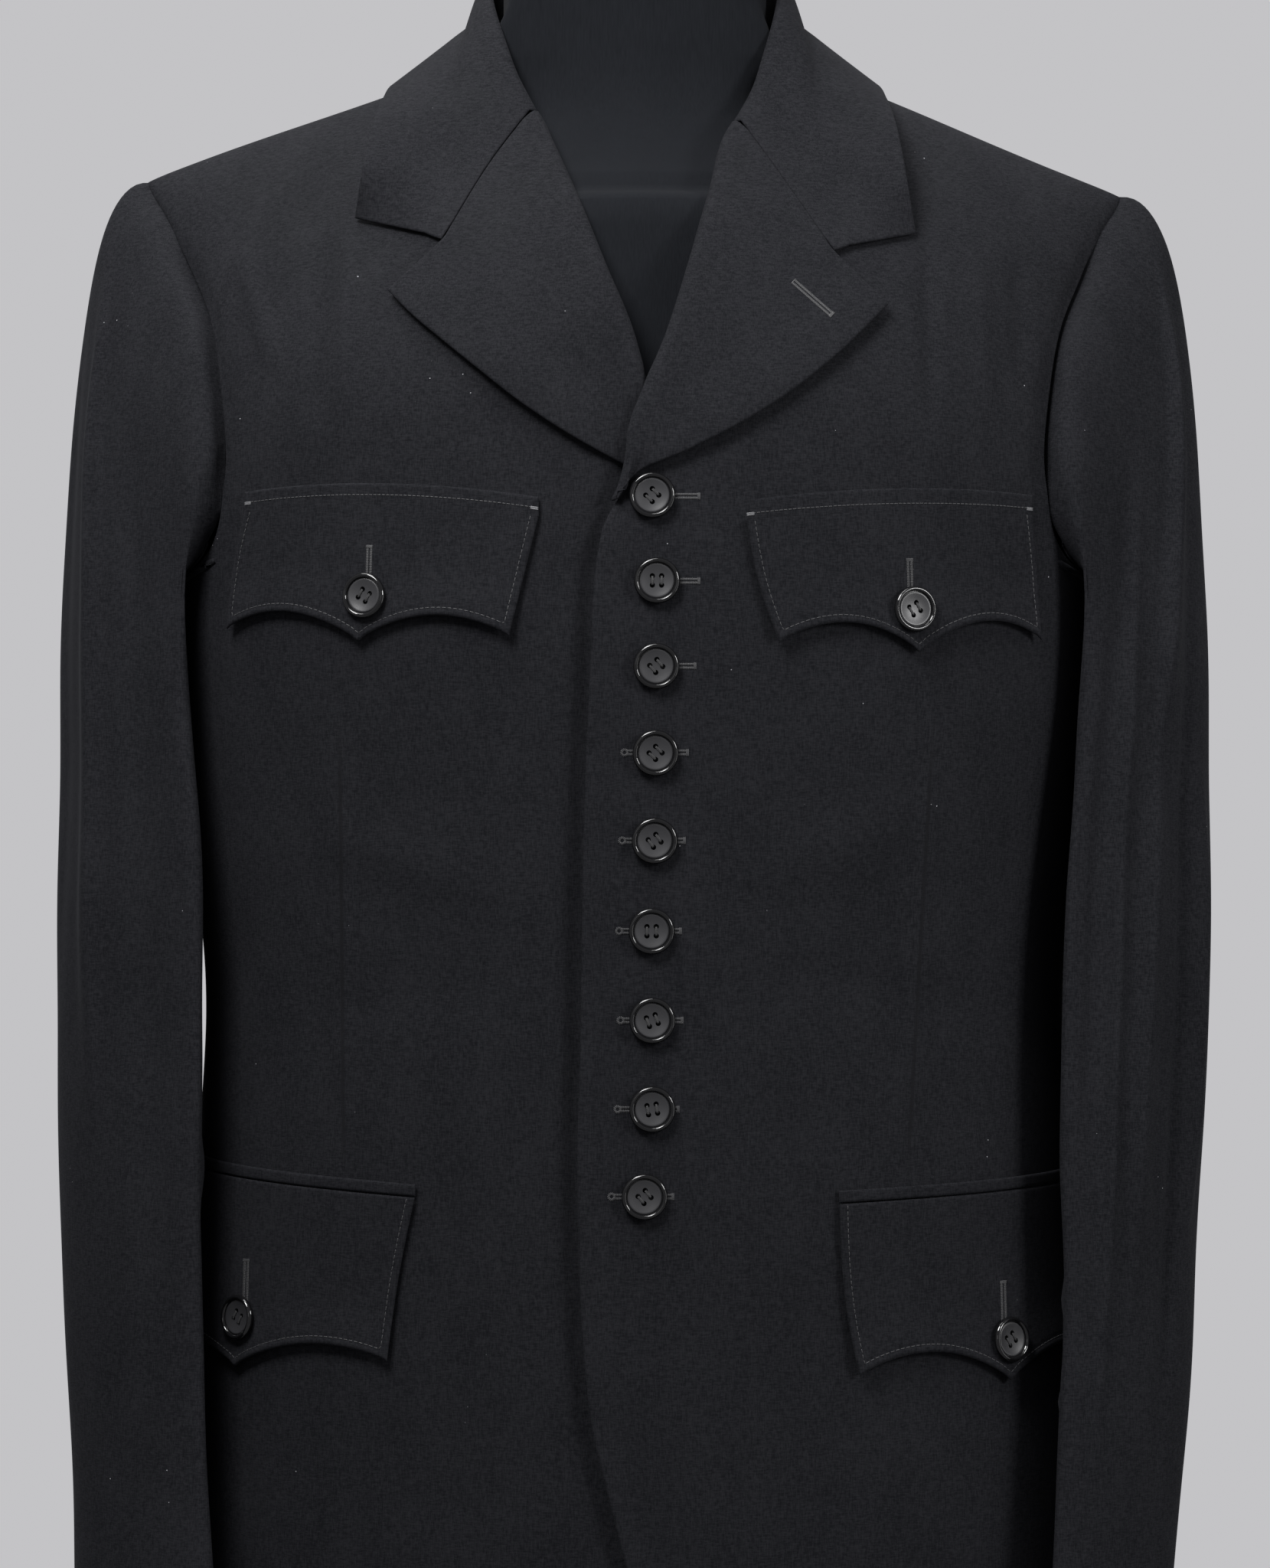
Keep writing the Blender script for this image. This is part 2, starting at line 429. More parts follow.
class BlazerStageSettings(bpy.types.PropertyGroup):
    """Camera and light."""

    distance: bpy.props.FloatProperty(
        name="Distance", description="Distance of the camera from the middle of the form",
        default=2.6, min=0.5, max=10.0, subtype="DISTANCE", unit="LENGTH")
    height: bpy.props.FloatProperty(
        name="Height", description="Height of the camera",
        default=0.620, min=0.0, max=3.0, subtype="DISTANCE", unit="LENGTH")
    lens: bpy.props.FloatProperty(
        name="Lens", description="Focal length in millimetres", default=87.6, min=20.0, max=300.0)
    backdrop: bpy.props.FloatVectorProperty(
        name="Backdrop", description="Colour of the plain studio round the garment",
        default=(0.552, 0.549, 0.565), size=3, min=0.0, max=1.0, subtype="COLOR")
    key: bpy.props.FloatProperty(
        name="Key", description="Power of the large light in front, above on the left",
        default=82.0, min=0.0, max=500.0, unit="POWER")
    fill: bpy.props.FloatProperty(
        name="Fill", description="Power of the small light above on the right",
        default=38.0, min=0.0, max=500.0, unit="POWER")
    side: bpy.props.FloatProperty(
        name="Side", description="Power of the low light beside the wearer's left sleeve",
        default=6.0, min=0.0, max=500.0, unit="POWER")
    top: bpy.props.FloatProperty(
        name="Top", description="Power of the light over the garment",
        default=84.0, min=0.0, max=500.0, unit="POWER")
    front: bpy.props.FloatProperty(
        name="Front", description="Power of the soft light beside the camera",
        default=6.0, min=0.0, max=500.0, unit="POWER")


def ease(value):
    """A smooth step from 0 to 1."""
    value = np.clip(value, 0.0, 1.0)
    return value * value * (3.0 - 2.0 * value)


def unit(vectors):
    """Vectors at length one."""
    return vectors / np.maximum(np.linalg.norm(vectors, axis=-1, keepdims=True), 1e-12)


def hermite(keys, values, places):
    """Smooth values at places between the keys of a table."""
    keys = np.asarray(keys, float)
    values = np.asarray(values, float)
    slopes = np.gradient(values, keys, axis=0)
    places = np.clip(np.asarray(places, float), keys[0], keys[-1])
    cell = np.clip(np.searchsorted(keys, places, side="right") - 1, 0, len(keys) - 2)
    width = keys[cell + 1] - keys[cell]
    part = ((places - keys[cell]) / width)[..., None]
    width = width[..., None]
    start = (2 * part ** 3 - 3 * part ** 2 + 1) * values[cell]
    leave = (part ** 3 - 2 * part ** 2 + part) * width * slopes[cell]
    end = (3 * part ** 2 - 2 * part ** 3) * values[cell + 1]
    arrive = (part ** 3 - part ** 2) * width * slopes[cell + 1]
    return start + leave + end + arrive


def rows_at(table, height):
    """The columns of a section table at any height."""
    table = np.asarray(table, float)
    found = hermite(table[:, 0], table[:, 1:], height)
    return [found[..., column] for column in range(found.shape[-1])]


def through(points, fractions):
    """Points at fractions of the length of a smooth curve through the given points."""
    points = np.asarray(points, float)
    steps = np.linalg.norm(np.diff(points, axis=0), axis=1)
    keys = np.concatenate(([0.0], np.cumsum(steps)))
    fine = hermite(keys, points, np.linspace(0.0, keys[-1], 30 * len(points)))
    reach = np.concatenate(([0.0], np.cumsum(np.linalg.norm(np.diff(fine, axis=0), axis=1))))
    places = np.asarray(fractions, float) * reach[-1]
    columns = [np.interp(places, reach, fine[:, axis]) for axis in range(points.shape[1])]
    return np.stack(columns, axis=-1)


def ridge(side, x, behind):
    """Height of the shoulder line over x, and behind the neck."""
    slope = (NECK_Z - TIP_Z[side]) / (TIP_X - NECK_X)
    height = NECK_Z - slope * (x - NECK_X)
    return height + np.where(behind, BACK_NECK_RISE * (1.0 - ease(x / NECK_X)), 0.0)


def body_point(side, angle, z):
    """A point of the body cloth's outer face at an angle from the centre front and a height."""
    angle, z = np.broadcast_arrays(np.asarray(angle, float), np.asarray(z, float))
    half, front, back, middle = rows_at(BODY, z)
    across, along = np.sin(angle), np.cos(angle)
    behind = along < 0.0
    x = half * np.sign(across) * np.abs(across) ** (2.0 / ROUND)
    depth = np.where(behind, back, front) * np.abs(along) ** (2.0 / ROUND)
    fall = ridge(side, np.abs(x), behind) - z
    rise = np.clip(fall / np.where(behind, BACK_ROLL, FRONT_ROLL), 0.0, 1.0)
    depth = depth * np.sqrt(1.0 - (1.0 - rise) ** 2)
    y = middle + np.where(behind, depth, -depth)
    return np.stack([side * x, y, z], axis=-1)


def body_normal(side, angle, z):
    """The outward direction of the body cloth."""
    step = 0.004
    rise = 0.001
    round_way = body_point(side, angle + step, z) - body_point(side, angle - step, z)
    up_way = body_point(side, angle, z + rise) - body_point(side, angle, z - rise)
    return unit(np.cross(round_way, up_way)) * side


def cloth(side, angle, z, lift=0.0):
    """A point of the body cloth, moved out by a lift."""
    lift = np.asarray(lift, float)
    return body_point(side, angle, z) + body_normal(side, angle, z) * lift[..., None]


def angle_of(x, z):
    """The angle of the front's point at x, which is counted towards its own side."""
    half = rows_at(BODY, z)[0]
    return np.sign(x) * np.arcsin(np.clip(np.abs(x) / half, 0.0, 1.0) ** (ROUND / 2.0))


def flat_curve(rows, fractions):
    """Angle and height along a curve that is given by x and z."""
    rows = np.asarray(rows, float)
    drawn = np.stack([angle_of(rows[:, 0], rows[:, 1]) * GIRTH, rows[:, 1]], axis=-1)
    found = through(drawn, fractions)
    return found[:, 0] / GIRTH, found[:, 1]


def armhole_half(side, rows, count):
    """Angles and heights of half an armhole, from its lowest point to the shoulder tip."""
    rows = np.asarray(rows, float)
    drop = (TIP_Z[-1] - TIP_Z[side]) * ease((rows[:, 1] - DROP_START) / DROP_HEIGHT)
    angle, z = np.radians(rows[:, 0]), rows[:, 1] - drop
    tip = angle_of(np.array(TIP_X), np.array(TIP_Z[side]))
    angle[-1], z[-1] = (tip if rows[-1, 0] < 90 else pi - tip), TIP_Z[side]
    drawn = np.stack([angle * GIRTH, z], axis=-1)
    even = np.linspace(0.0, 1.0, count + 1)
    slow = even - 0.6 * np.sin(2 * pi * even) / (2 * pi)
    found = through(drawn, 1.0 - (1.0 - slow) ** 1.5)
    return found[:, 0] / GIRTH, found[:, 1]


def crowded(count):
    """Fractions from 0 to 1 that come closer towards 1."""
    return 1.0 - (1.0 - np.linspace(0.0, 1.0, count + 1)) ** 1.5


def patch(left, right, top, bottom, steep=None):
    """Fill four boundary curves in the plane: rows run up, columns run from left to right.

    The heights between the sides are spread by steep, a power for each row.
    """
    rows, columns = len(left), len(top)
    up = np.linspace(0.0, 1.0, rows)[:, None, None]
    over = np.linspace(0.0, 1.0, columns)[None, :, None]
    grid = (1 - over) * left[:, None] + over * right[:, None]
    if steep is not None:
        spread = over[..., 0] ** steep[:, None]
        grid[..., 1] = (1 - spread) * left[:, None, 1] + spread * right[:, None, 1]
    straight_top = (1 - over[0]) * left[-1] + over[0] * right[-1]
    straight_bottom = (1 - over[0]) * left[0] + over[0] * right[0]
    grid = grid + up ** 3 * (top - straight_top)[None]
    return grid + (1 - up) ** 4 * (bottom - straight_bottom)[None]


def front_grid(side):
    """Angles and heights of a front: rows from hem to shoulder, columns from edge to side."""
    edge = UPPER_EDGE if side > 0 else LOWER_EDGE
    lower = np.linspace(0.0, ARMHOLE_SHARE, SIDE_ROWS + 1)
    upper = ARMHOLE_SHARE + (1.0 - ARMHOLE_SHARE) * crowded(FRONT_ARM_ROWS)[1:]
    angle, z = flat_curve(edge, np.concatenate((lower, upper)))
    left = np.stack([angle, z], axis=-1)
    seam = side_seam()
    angle, z = armhole_half(side, ARMHOLE_FRONT, FRONT_ARM_ROWS)
    right = np.concatenate((seam, np.stack([angle, z], axis=-1)[1:]))
    x = np.linspace(NECK_X, TIP_X, FRONT_COLUMNS + 1)
    z = ridge(side, x, False)
    top = np.stack([angle_of(x, z), z], axis=-1)
    over = np.linspace(0.0, 1.0, FRONT_COLUMNS + 1)
    angle = left[0, 0] + (SIDE_ANGLE - left[0, 0]) * over
    z = HEM_Z + (left[0, 1] - HEM_Z) * (1.0 - np.clip(over / 0.33, 0, 1)) ** 2
    bottom = np.stack([angle, z], axis=-1)
    return patch(right, left, top[::-1], bottom[::-1], armhole_spread(len(left)))[:, ::-1]


def armhole_spread(rows):
    """Powers that lift the rows off the lowest part of the armhole."""
    row = np.arange(rows)
    return 1.0 + 0.25 * (row > SIDE_ROWS) * np.clip((rows - 1 - row) / (6.0 * FINER), 0.0, 1.0)


def side_seam():
    """Angles and heights of the side seam."""
    z = np.linspace(HEM_Z, ARMHOLE_BOTTOM, SIDE_ROWS + 1)
    return np.stack([np.full_like(z, SIDE_ANGLE), z], axis=-1)


def back_neck(count):
    """Angles and heights along the back of the neck, from the centre back to the shoulder."""
    turn = np.linspace(0.0, pi / 2, count + 1)
    x = NECK_X * np.sin(turn)
    z = NECK_Z + 0.012 * np.cos(turn) ** 2
    return np.stack([pi - angle_of(x, z), z], axis=-1)


def back_grid(side):
    """Angles and heights of a back: rows from hem to shoulder, columns from side to middle."""
    seam = side_seam()
    angle, z = armhole_half(side, ARMHOLE_BACK, BACK_ARM_ROWS)
    left = np.concatenate((seam, np.stack([angle, z], axis=-1)[1:]))
    top_z = back_neck(1)[0, 1]
    lower = np.linspace(HEM_Z, BACK_SPLIT, SIDE_ROWS + 1)
    upper = BACK_SPLIT + (top_z - BACK_SPLIT) * crowded(BACK_ARM_ROWS)[1:]
    z = np.concatenate((lower, upper))
    right = np.stack([np.full_like(z, pi), z], axis=-1)
    x = np.linspace(TIP_X, NECK_X, SHOULDER_COLUMNS + 1)
    z = ridge(side, x, False)
    shoulder = np.stack([pi - angle_of(x, z), z], axis=-1)
    top = np.concatenate((shoulder, back_neck(NECK_COLUMNS)[::-1][1:]))
    over = np.linspace(0.0, 1.0, SHOULDER_COLUMNS + NECK_COLUMNS + 1)
    bottom = np.stack([SIDE_ANGLE + (pi - SIDE_ANGLE) * over, np.full_like(over, HEM_Z)], axis=-1)
    return patch(left, right, top, bottom, armhole_spread(len(left)))


def armhole(side):
    """The armhole's ring: points, turns round the sleeve and ways out of the armhole."""
    front_angle, front_z = armhole_half(side, ARMHOLE_FRONT, FRONT_ARM_ROWS)
    back_angle, back_z = armhole_half(side, ARMHOLE_BACK, BACK_ARM_ROWS)
    angle = np.concatenate((front_angle, back_angle[::-1][1:-1]))
    z = np.concatenate((front_z, back_z[::-1][1:-1]))
    turn = np.concatenate((np.linspace(pi, 0.0, len(front_angle)),
                           np.linspace(2 * pi, pi, len(back_angle))[1:-1]))
    return body_point(side, angle, z), turn, head_pulls(side, turn)


def head_pulls(side, turn):
    """The way out of the armhole at each turn round it, and the two lengths of pull."""
    places = np.array([pi, pi / 2, 0.0, -pi / 2])
    rows = np.array([row[1:] for row in SLEEVE_HEAD])
    order = np.array([3, 2, 1, 0])
    keys = np.concatenate((places[order], [pi + pi / 2, 2 * pi]))
    values = np.concatenate((rows[order], rows[[3, 2]]))
    found = np.stack([np.interp(turn, keys, values[:, column]) for column in range(5)], axis=-1)
    way = unit(np.stack([side * found[:, 0], -found[:, 1], -found[:, 2]], axis=-1))
    return np.concatenate((way, found[:, 3:]), axis=1)


def sleeve_ring(side, turn, z):
    """A sleeve's section at a height, at turns counted from its outer edge to the front."""
    right, left, inner, middle, front, back, front_lean, back_lean = rows_at(SLEEVE, z)
    outer = left if side > 0 else right
    forward = np.sin(turn) > 0
    centre = (outer + inner) / 2
    lean = np.where(forward, front_lean, back_lean)
    x = centre + (outer - inner) / 2 * np.cos(turn) - lean * np.sin(turn) ** 2
    y = middle - np.where(forward, front, back) * np.sin(turn)
    reach = body_reach(y, z) + SLEEVE_CLEAR
    x = np.where(x < reach, reach, x)
    return np.stack([side * x, y, np.broadcast_to(z, x.shape)], axis=-1)


def body_reach(y, z):
    """Half the body's width at a depth and a height."""
    half, front, back, middle = rows_at(BODY, z)
    away = np.abs(y - middle) / np.where(y > middle, back, front)
    return half * np.clip(1.0 - away ** ROUND, 0.0, 1.0) ** (1.0 / ROUND)


def clear_ring(side, ring, start):
    """Move a ring of the sleeve's head off the body, more so away from the armhole."""
    away = np.linalg.norm(ring - start, axis=1)
    gap = np.minimum(SLEEVE_CLEAR, CLEAR_SLOPE * away)
    reach = body_reach(ring[:, 1], ring[:, 2]) + gap
    fade = 1 - ease((ring[:, 2] - CLEAR_TOP[0]) / CLEAR_TOP[1])
    short = np.maximum(reach - ring[:, 0] * side, 0.0) * fade
    moved = ring.copy()
    moved[:, 0] += side * short * (away > 0.0)
    return moved


def sleeve_grid(side):
    """The whole sleeve: rows from the armhole to the cuff, columns round it."""
    points, turn, pulls = armhole(side)
    top = SLEEVE[-1][0]
    hang = sleeve_ring(side, turn, np.full_like(turn, top))
    below = sleeve_ring(side, turn, np.full_like(turn, top - 0.004))
    fall = unit(hang - below)
    rows = []
    for part in HEAD_RINGS:
        leave = points + pulls[:, :3] * pulls[:, 3:4]
        arrive = hang + fall * pulls[:, 4:5]
        ring = ((1 - part) ** 3 * points + 3 * (1 - part) ** 2 * part * leave
                + 3 * (1 - part) * part ** 2 * arrive + part ** 3 * hang)
        rows.append(clear_ring(side, ring, points) + pulls[:, :3] * SLEEVE_GAP * (1 - part))
    for z in np.linspace(top, SLEEVE[0][0], HANG_ROWS + 1):
        rows.append(sleeve_ring(side, turn, np.full_like(turn, z)))
    return np.array(rows)


def grid_normals(grid):
    """Normals of a grid of points, by its rows and columns."""
    return unit(np.cross(np.gradient(grid, axis=1), np.gradient(grid, axis=0)))


def lap_lift(side, angle, z):
    """How far the upper front stands out where it lies over the lower one."""
    if side < 0:
        return np.zeros_like(z)
    x = body_point(side, angle, z)[..., 0]
    over = 1 - ease((x - LAP_SIDE[0]) / LAP_SIDE[1])
    return LAP * over * (1 - ease((z - LAP_TOP[0]) / LAP_TOP[1]))


def front_edge(side):
    """x and z of a front's edge, as its wall has them."""
    grid = front_grid(side)[:, 0]
    points = body_point(side, grid[:, 0], grid[:, 1])
    return points[:, 0] * side, points[:, 2]


def gorge_line(side):
    """x and z from the roll line to the notch."""
    edge_x, edge_z = front_edge(side)
    line = np.array(GORGE[side])
    line[0, 0] = np.interp(line[0, 1], edge_z, edge_x)
    return through(line, np.linspace(0.0, 1.0, GORGE_CELLS + 1))


def fold_line(side):
    """x and z of a lapel's fold, from its lower end to the gorge."""
    edge_x, edge_z = front_edge(side)
    feet = LAPEL_FOOT[side] + np.array(FOOT_ROWS)
    top = gorge_line(side)[0]
    beside = (edge_z > feet[-1] + 0.006) & (edge_z < top[1] - 0.003)
    follow = np.stack([edge_x[beside], edge_z[beside]], axis=-1)
    start = np.stack([np.interp(feet, edge_z, edge_x), feet], axis=-1)
    return np.concatenate((start, follow, top[None]))


def lift_beside_fold():
    """Lift of a turned piece's face at each cell from its fold to the lapel's tip."""
    over = np.linspace(0.0, 1.0, GORGE_CELLS + NOTCH_CELLS + 1)
    return FOLD_LIFT - (FOLD_LIFT - REST_LIFT) * ease(over * LIFT_FALL)


def turned_strips(fold):
    """Face and lining strips that turn over at a fold, as x, z and lift."""
    face, lining = [], []
    for away, lift, in_away, in_lift in TURN_OVER:
        face.append((fold[:, 0] + away, fold[:, 1], np.full(len(fold), lift)))
        lining.append((fold[:, 0] + in_away, fold[:, 1], np.full(len(fold), in_lift)))
    return face, lining


def place_turned(side, strips):
    """Points of a turned-back piece on its front."""
    x, z, lift = [np.stack(part, axis=1) for part in zip(*strips)]
    angle = angle_of(x, z)
    return cloth(side, angle, z, lift + lap_lift(side, angle, z))


def arc_angles(side, centre, z, distances):
    """Angles at distances along the body's section, from a centre angle."""
    angles = np.linspace(0.0, pi, 400)
    line = body_point(side, angles, z)
    reach = np.concatenate(([0.0], np.cumsum(np.linalg.norm(np.diff(line, axis=0), axis=1))))
    start = np.interp(centre, angles, reach)
    return np.interp(start + distances, reach, angles)


def flap_top(row, across):
    """Height of a flap's top edge, from its inner end at -1 to its outer end at 1."""
    rise, drop = row[5]
    return row[2][1] + rise * across - drop * across ** 2


def flap_grid(row, rows, columns):
    """Angles, heights and lifts of a flap: rows from its top down, columns outwards."""
    side, (x, top), (wide, narrow), shift = row[1:5]
    (inner, point, outer), arcs, bows = row[6:9]
    across = np.linspace(-1.0, 1.0, columns + 1)
    corner = np.where(across < 0, inner, outer)
    low = top - point - (corner - point) * np.abs(across)
    low = low + arcs * np.sin(pi * np.abs(across)) ** 0.8
    down = np.linspace(0.0, 1.0, rows + 1)[:, None]
    place = across * (wide + (narrow - wide) * down) / 2 + shift * down
    bow = np.where(across < 0, -bows[0], bows[1]) * across ** 2
    place = place + bow * np.sin(pi * down)
    angle = arc_angles(side, float(angle_of(np.array(x), np.array(top))), top, place)
    z = flap_top(row, across) * (1 - down) + low * down
    lift = FLAP_LIFT[0] + FLAP_LIFT[1] * down ** 2 + lap_lift(side, angle, z)
    return angle, z, lift


def flap_button_place(row):
    """Where a flap's button sits: point, outward direction and lift."""
    side, (x, top), widths, shift = row[1:5]
    height = row[-1]
    down = (top - height) / row[6][1]
    centre = float(angle_of(np.array(x), np.array(top)))
    angle = arc_angles(side, centre, top, np.array(shift * down))
    lift = FLAP_LIFT[0] + FLAP_LIFT[1] * down ** 2
    return body_point(side, angle, height), body_normal(side, angle, height), lift


def neck_seam(side, places):
    """Points along the neck's edge, from the centre back to the roll line."""
    back = back_neck(NECK_COLUMNS)
    behind = body_point(side, back[:, 0], back[:, 1])
    edge = front_grid(side)[:, 0][::-1]
    edge = edge[edge[:, 1] > GORGE[side][0][1] + 0.003]
    line = np.concatenate((behind, body_point(side, edge[1:, 0], edge[1:, 1])))
    steps = np.concatenate(([0.0], np.cumsum(np.linalg.norm(np.diff(line, axis=0), axis=1))))
    found = np.asarray(places) * steps[-1]
    return np.stack([np.interp(found, steps, line[:, axis]) for axis in range(3)], axis=-1)


def collar_half(side, tree):
    """Face and lining of half the collar, from the centre back, and from the stand outwards."""
    keys = np.array([row[0] for row in COLLAR])
    guides = np.array([row[1:] for row in COLLAR])
    places = np.linspace(0.0, 1.0, COLLAR_STATIONS + 1)
    seams = neck_seam(side, places)
    fold, middle, edge = np.moveaxis(hermite(keys, guides.reshape(len(keys), 9), places)
                                     .reshape(-1, 3, 3), 1, 0)
    sag = np.zeros_like(fold)
    sag[:, 2] = -COLLAR_SAG * side * ease((places - 0.60) / 0.40)
    mirror = np.array([side, 1.0, 1.0])
    fold, middle, edge = (fold + sag) * mirror, (middle + sag) * mirror, (edge + sag) * mirror
    level = np.array([1.0, 1.0, 0.0])
    inward = unit((np.array([0.0, 0.01, 0.0]) - seams) * level)
    seams = seams + inward * (WALL + STAND_GAP)
    away = unit((middle - fold) * level)
    rise = np.array([0.0, 0.0, 1.0])
    into = fold - away * COLLAR_TURN[0] - rise * COLLAR_TURN[1]
    over = fold + away * COLLAR_TURN[2] - rise * COLLAR_TURN[3]
    columns = [seams, into, fold, over]
    for part in FALL_PARTS:
        columns.append(over + (middle - over) * part + away * COLLAR_BELLY * part * (1 - part))
    for cell in range(1, EDGE_CELLS + 1):
        columns.append(middle + (edge - middle) * cell / EDGE_CELLS)
    face = np.stack(columns, axis=1)
    face[:, 4:] = keep_off(face[:, 4:], tree, WALL + COLLAR_GAP)
    end, end_lining = collar_end(side, edge[-1])
    face[-1] = end
    return face, end_lining


def collar_end(side, corner):
    """The collar's end on a front: its turn at the roll line, the gorge and the notch edge."""
    gorge = gorge_line(side) + np.array([0.0003, 0.0002])
    corner = np.array([abs(corner[0]), corner[2]])
    strips, linings = turned_strips(gorge[:1])
    lift = lift_beside_fold()[:GORGE_CELLS + 1]
    face = [(x[0], z[0], up[0]) for x, z, up in strips]
    lining = [(x[0], z[0], up[0]) for x, z, up in linings]
    face.insert(0, (gorge[0, 0] - 0.0036, gorge[0, 1] + 0.0004, -0.0036))
    lining.insert(0, (gorge[0, 0] - 0.0020, gorge[0, 1] + 0.0004, -0.0028))
    near = gorge[0] + (gorge[1] - gorge[0]) * ROLL_PART
    flat = [(*near, FOLD_LIFT)]
    flat += [(*point, up) for point, up in zip(gorge[1:], lift[1:])]
    for cell in range(1, EDGE_CELLS + 1):
        flat.append((*(gorge[-1] + (corner - gorge[-1]) * cell / EDGE_CELLS), lift[-1]))
    face += flat
    lining += [(x, z, up - WALL) for x, z, up in flat]
    places = []
    for part in (face, lining):
        x, z, up = np.array(part).T
        places.append(cloth(side, angle_of(x, z), z, up))
    return places


def body_tree():
    """The body's outer face, for what lies on it."""
    points, faces = [], []
    for side in (1, -1):
        for grid in (front_grid(side), back_grid(side)):
            face = cloth(side, grid[..., 0], grid[..., 1])
            start = len(points)
            rows, columns = face.shape[:2]
            points += [Vector(point) for point in face.reshape(-1, 3)]
            for row in range(rows - 1):
                for column in range(columns - 1):
                    a = start + row * columns + column
                    corners = (a, a + 1, a + columns + 1, a + columns)
                    faces.append(corners if side > 0 else corners[::-1])
    return BVHTree.FromPolygons(points, faces)


def keep_off(grid, tree, gap):
    """Move points out, so that each is at least a gap above the body."""
    moved = grid.copy()
    for place in np.ndindex(grid.shape[:2]):
        point = Vector(grid[place])
        near, normal, face, distance = tree.find_nearest(point)
        above = (point - near).dot(normal)
        if above < gap:
            moved[place] = point + normal * (gap - above)
    return moved


def lay_on(point, normal, lift, turn):
    """The placing of something flat on a surface."""
    z_axis = Vector(normal).normalized()
    x_axis = Vector((0, 0, 1)).cross(z_axis).normalized()
    y_axis = z_axis.cross(x_axis)
    frame = Matrix((x_axis, y_axis, z_axis)).transposed().to_4x4()
    place = Matrix.Translation(Vector(point) + z_axis * lift)
    return place @ frame @ Matrix.Rotation(turn, 4, "Z")


def form_ring(z, count):
    """A level ring of the form, under the cloth's shape and round its own neck."""
    half_limit, share = rows_at(FORM, z)
    half_cloth = rows_at(BODY, z + FORM_DROP)[0]
    neck_half, neck_depth, neck_middle = rows_at(FORM_NECK, z)
    points = []
    for step in range(count):
        turn = 2 * pi * step / count
        side = 1 if cos(turn) >= 0 else -1
        slope = (NECK_Z - TIP_Z[side]) / (TIP_X - NECK_X)
        shoulder = NECK_X + (NECK_Z - FORM_DROP - z) / slope
        reach = min(float(half_limit), shoulder)
        x = reach * abs(cos(turn))
        stretch = 1 + (float(half_cloth / half_limit) - 1) * float(1 - ease((z - 0.86) / 0.04))
        angle = float(angle_of(np.array(x * stretch), np.array(z + FORM_DROP)))
        if sin(turn) > 0:
            angle = pi - angle
        y = float(body_point(side, angle, z + FORM_DROP)[1])
        middle = float(rows_at(BODY, z + FORM_DROP)[3])
        y = middle + (y - middle) * float(share)
        if z > 0.90 and x < neck_half:
            neck = float(neck_depth) * (1 - (x / float(neck_half)) ** 2) ** 0.5
            if sin(turn) > 0:
                y = max(y, float(neck_middle) + neck)
            else:
                y = min(y, float(neck_middle) - neck)
        points.append((side * x, y, z))
    return points


def level_ring(z, half, depth, middle, count):
    """An oval ring."""
    turns = [2 * pi * step / count for step in range(count)]
    return [(half * cos(turn), middle + depth * sin(turn), z) for turn in turns]


def lengths(grid, axis):
    """Mean distance along a grid from its first row or column."""
    steps = np.linalg.norm(np.diff(grid, axis=axis), axis=-1).mean(axis=1 - axis)
    return np.concatenate(([0.0], np.cumsum(steps)))


def places_for(total, cell):
    """Places along a length in even cells, closer together at both ends."""
    near = np.array(EDGE_STEPS)
    count = max(2, round((total - 2 * near[-1]) / cell))
    even = np.linspace(near[-1], total - near[-1], count + 1)
    return np.concatenate((near[:-1], even, total - near[-2::-1]))


def refine(grid, cell):
    """A grid drawn smoothly through the points of a coarser one."""
    rows, columns = lengths(grid, 0), lengths(grid, 1)
    up = places_for(rows[-1], cell[1])
    over = places_for(columns[-1], cell[0])
    tall = hermite(rows, grid.reshape(len(rows), -1), up).reshape(len(up), len(columns), -1)
    turned = tall.transpose(1, 0, 2).reshape(len(columns), -1)
    wide = hermite(columns, turned, over).reshape(len(over), len(up), -1)
    return wide.transpose(1, 0, 2)


def edge_distances(grid):
    """Distance of each point from the left, right, lower and upper edge, along the grid."""
    across = np.linalg.norm(np.diff(grid, axis=1), axis=-1)
    left = np.pad(np.cumsum(across, axis=1), ((0, 0), (1, 0)))
    upward = np.linalg.norm(np.diff(grid, axis=0), axis=-1)
    low = np.pad(np.cumsum(upward, axis=0), ((1, 0), (0, 0)))
    return left, left[:, -1:] - left, low, low[-1:] - low


def away_from(grid, centre=(0.0, 0.0), part=np.s_[:, :]):
    """Normals of a grid that point away from an upright axis."""
    normal = grid_normals(grid)
    out = grid - np.array([*centre, 0.0])
    out[..., 2] = 0.0
    if (normal * out)[part].sum() < 0:
        normal = -normal
    return normal


def line_distance(points, line):
    """Signed distance of flat points from a line of points, and how far along it they lie."""
    line = np.asarray(line, float)
    steps = np.linalg.norm(np.diff(line, axis=0), axis=1)
    reach = np.concatenate(([0.0], np.cumsum(steps)))
    best = np.full(points.shape[:-1], np.inf)
    signed, along = np.zeros_like(best), np.zeros_like(best)
    for number, start in enumerate(line[:-1]):
        way = (line[number + 1] - start) / steps[number]
        place = np.clip((points - start) @ way, 0.0, steps[number])
        gap = points - start - place[..., None] * way
        distance = np.linalg.norm(gap, axis=-1)
        turn = np.sign(way[0] * gap[..., 1] - way[1] * gap[..., 0])
        nearer = distance < best
        best = np.where(nearer, distance, best)
        signed = np.where(nearer, distance * turn, signed)
        along = np.where(nearer, (reach[number] + place) / reach[-1], along)
    return signed, along


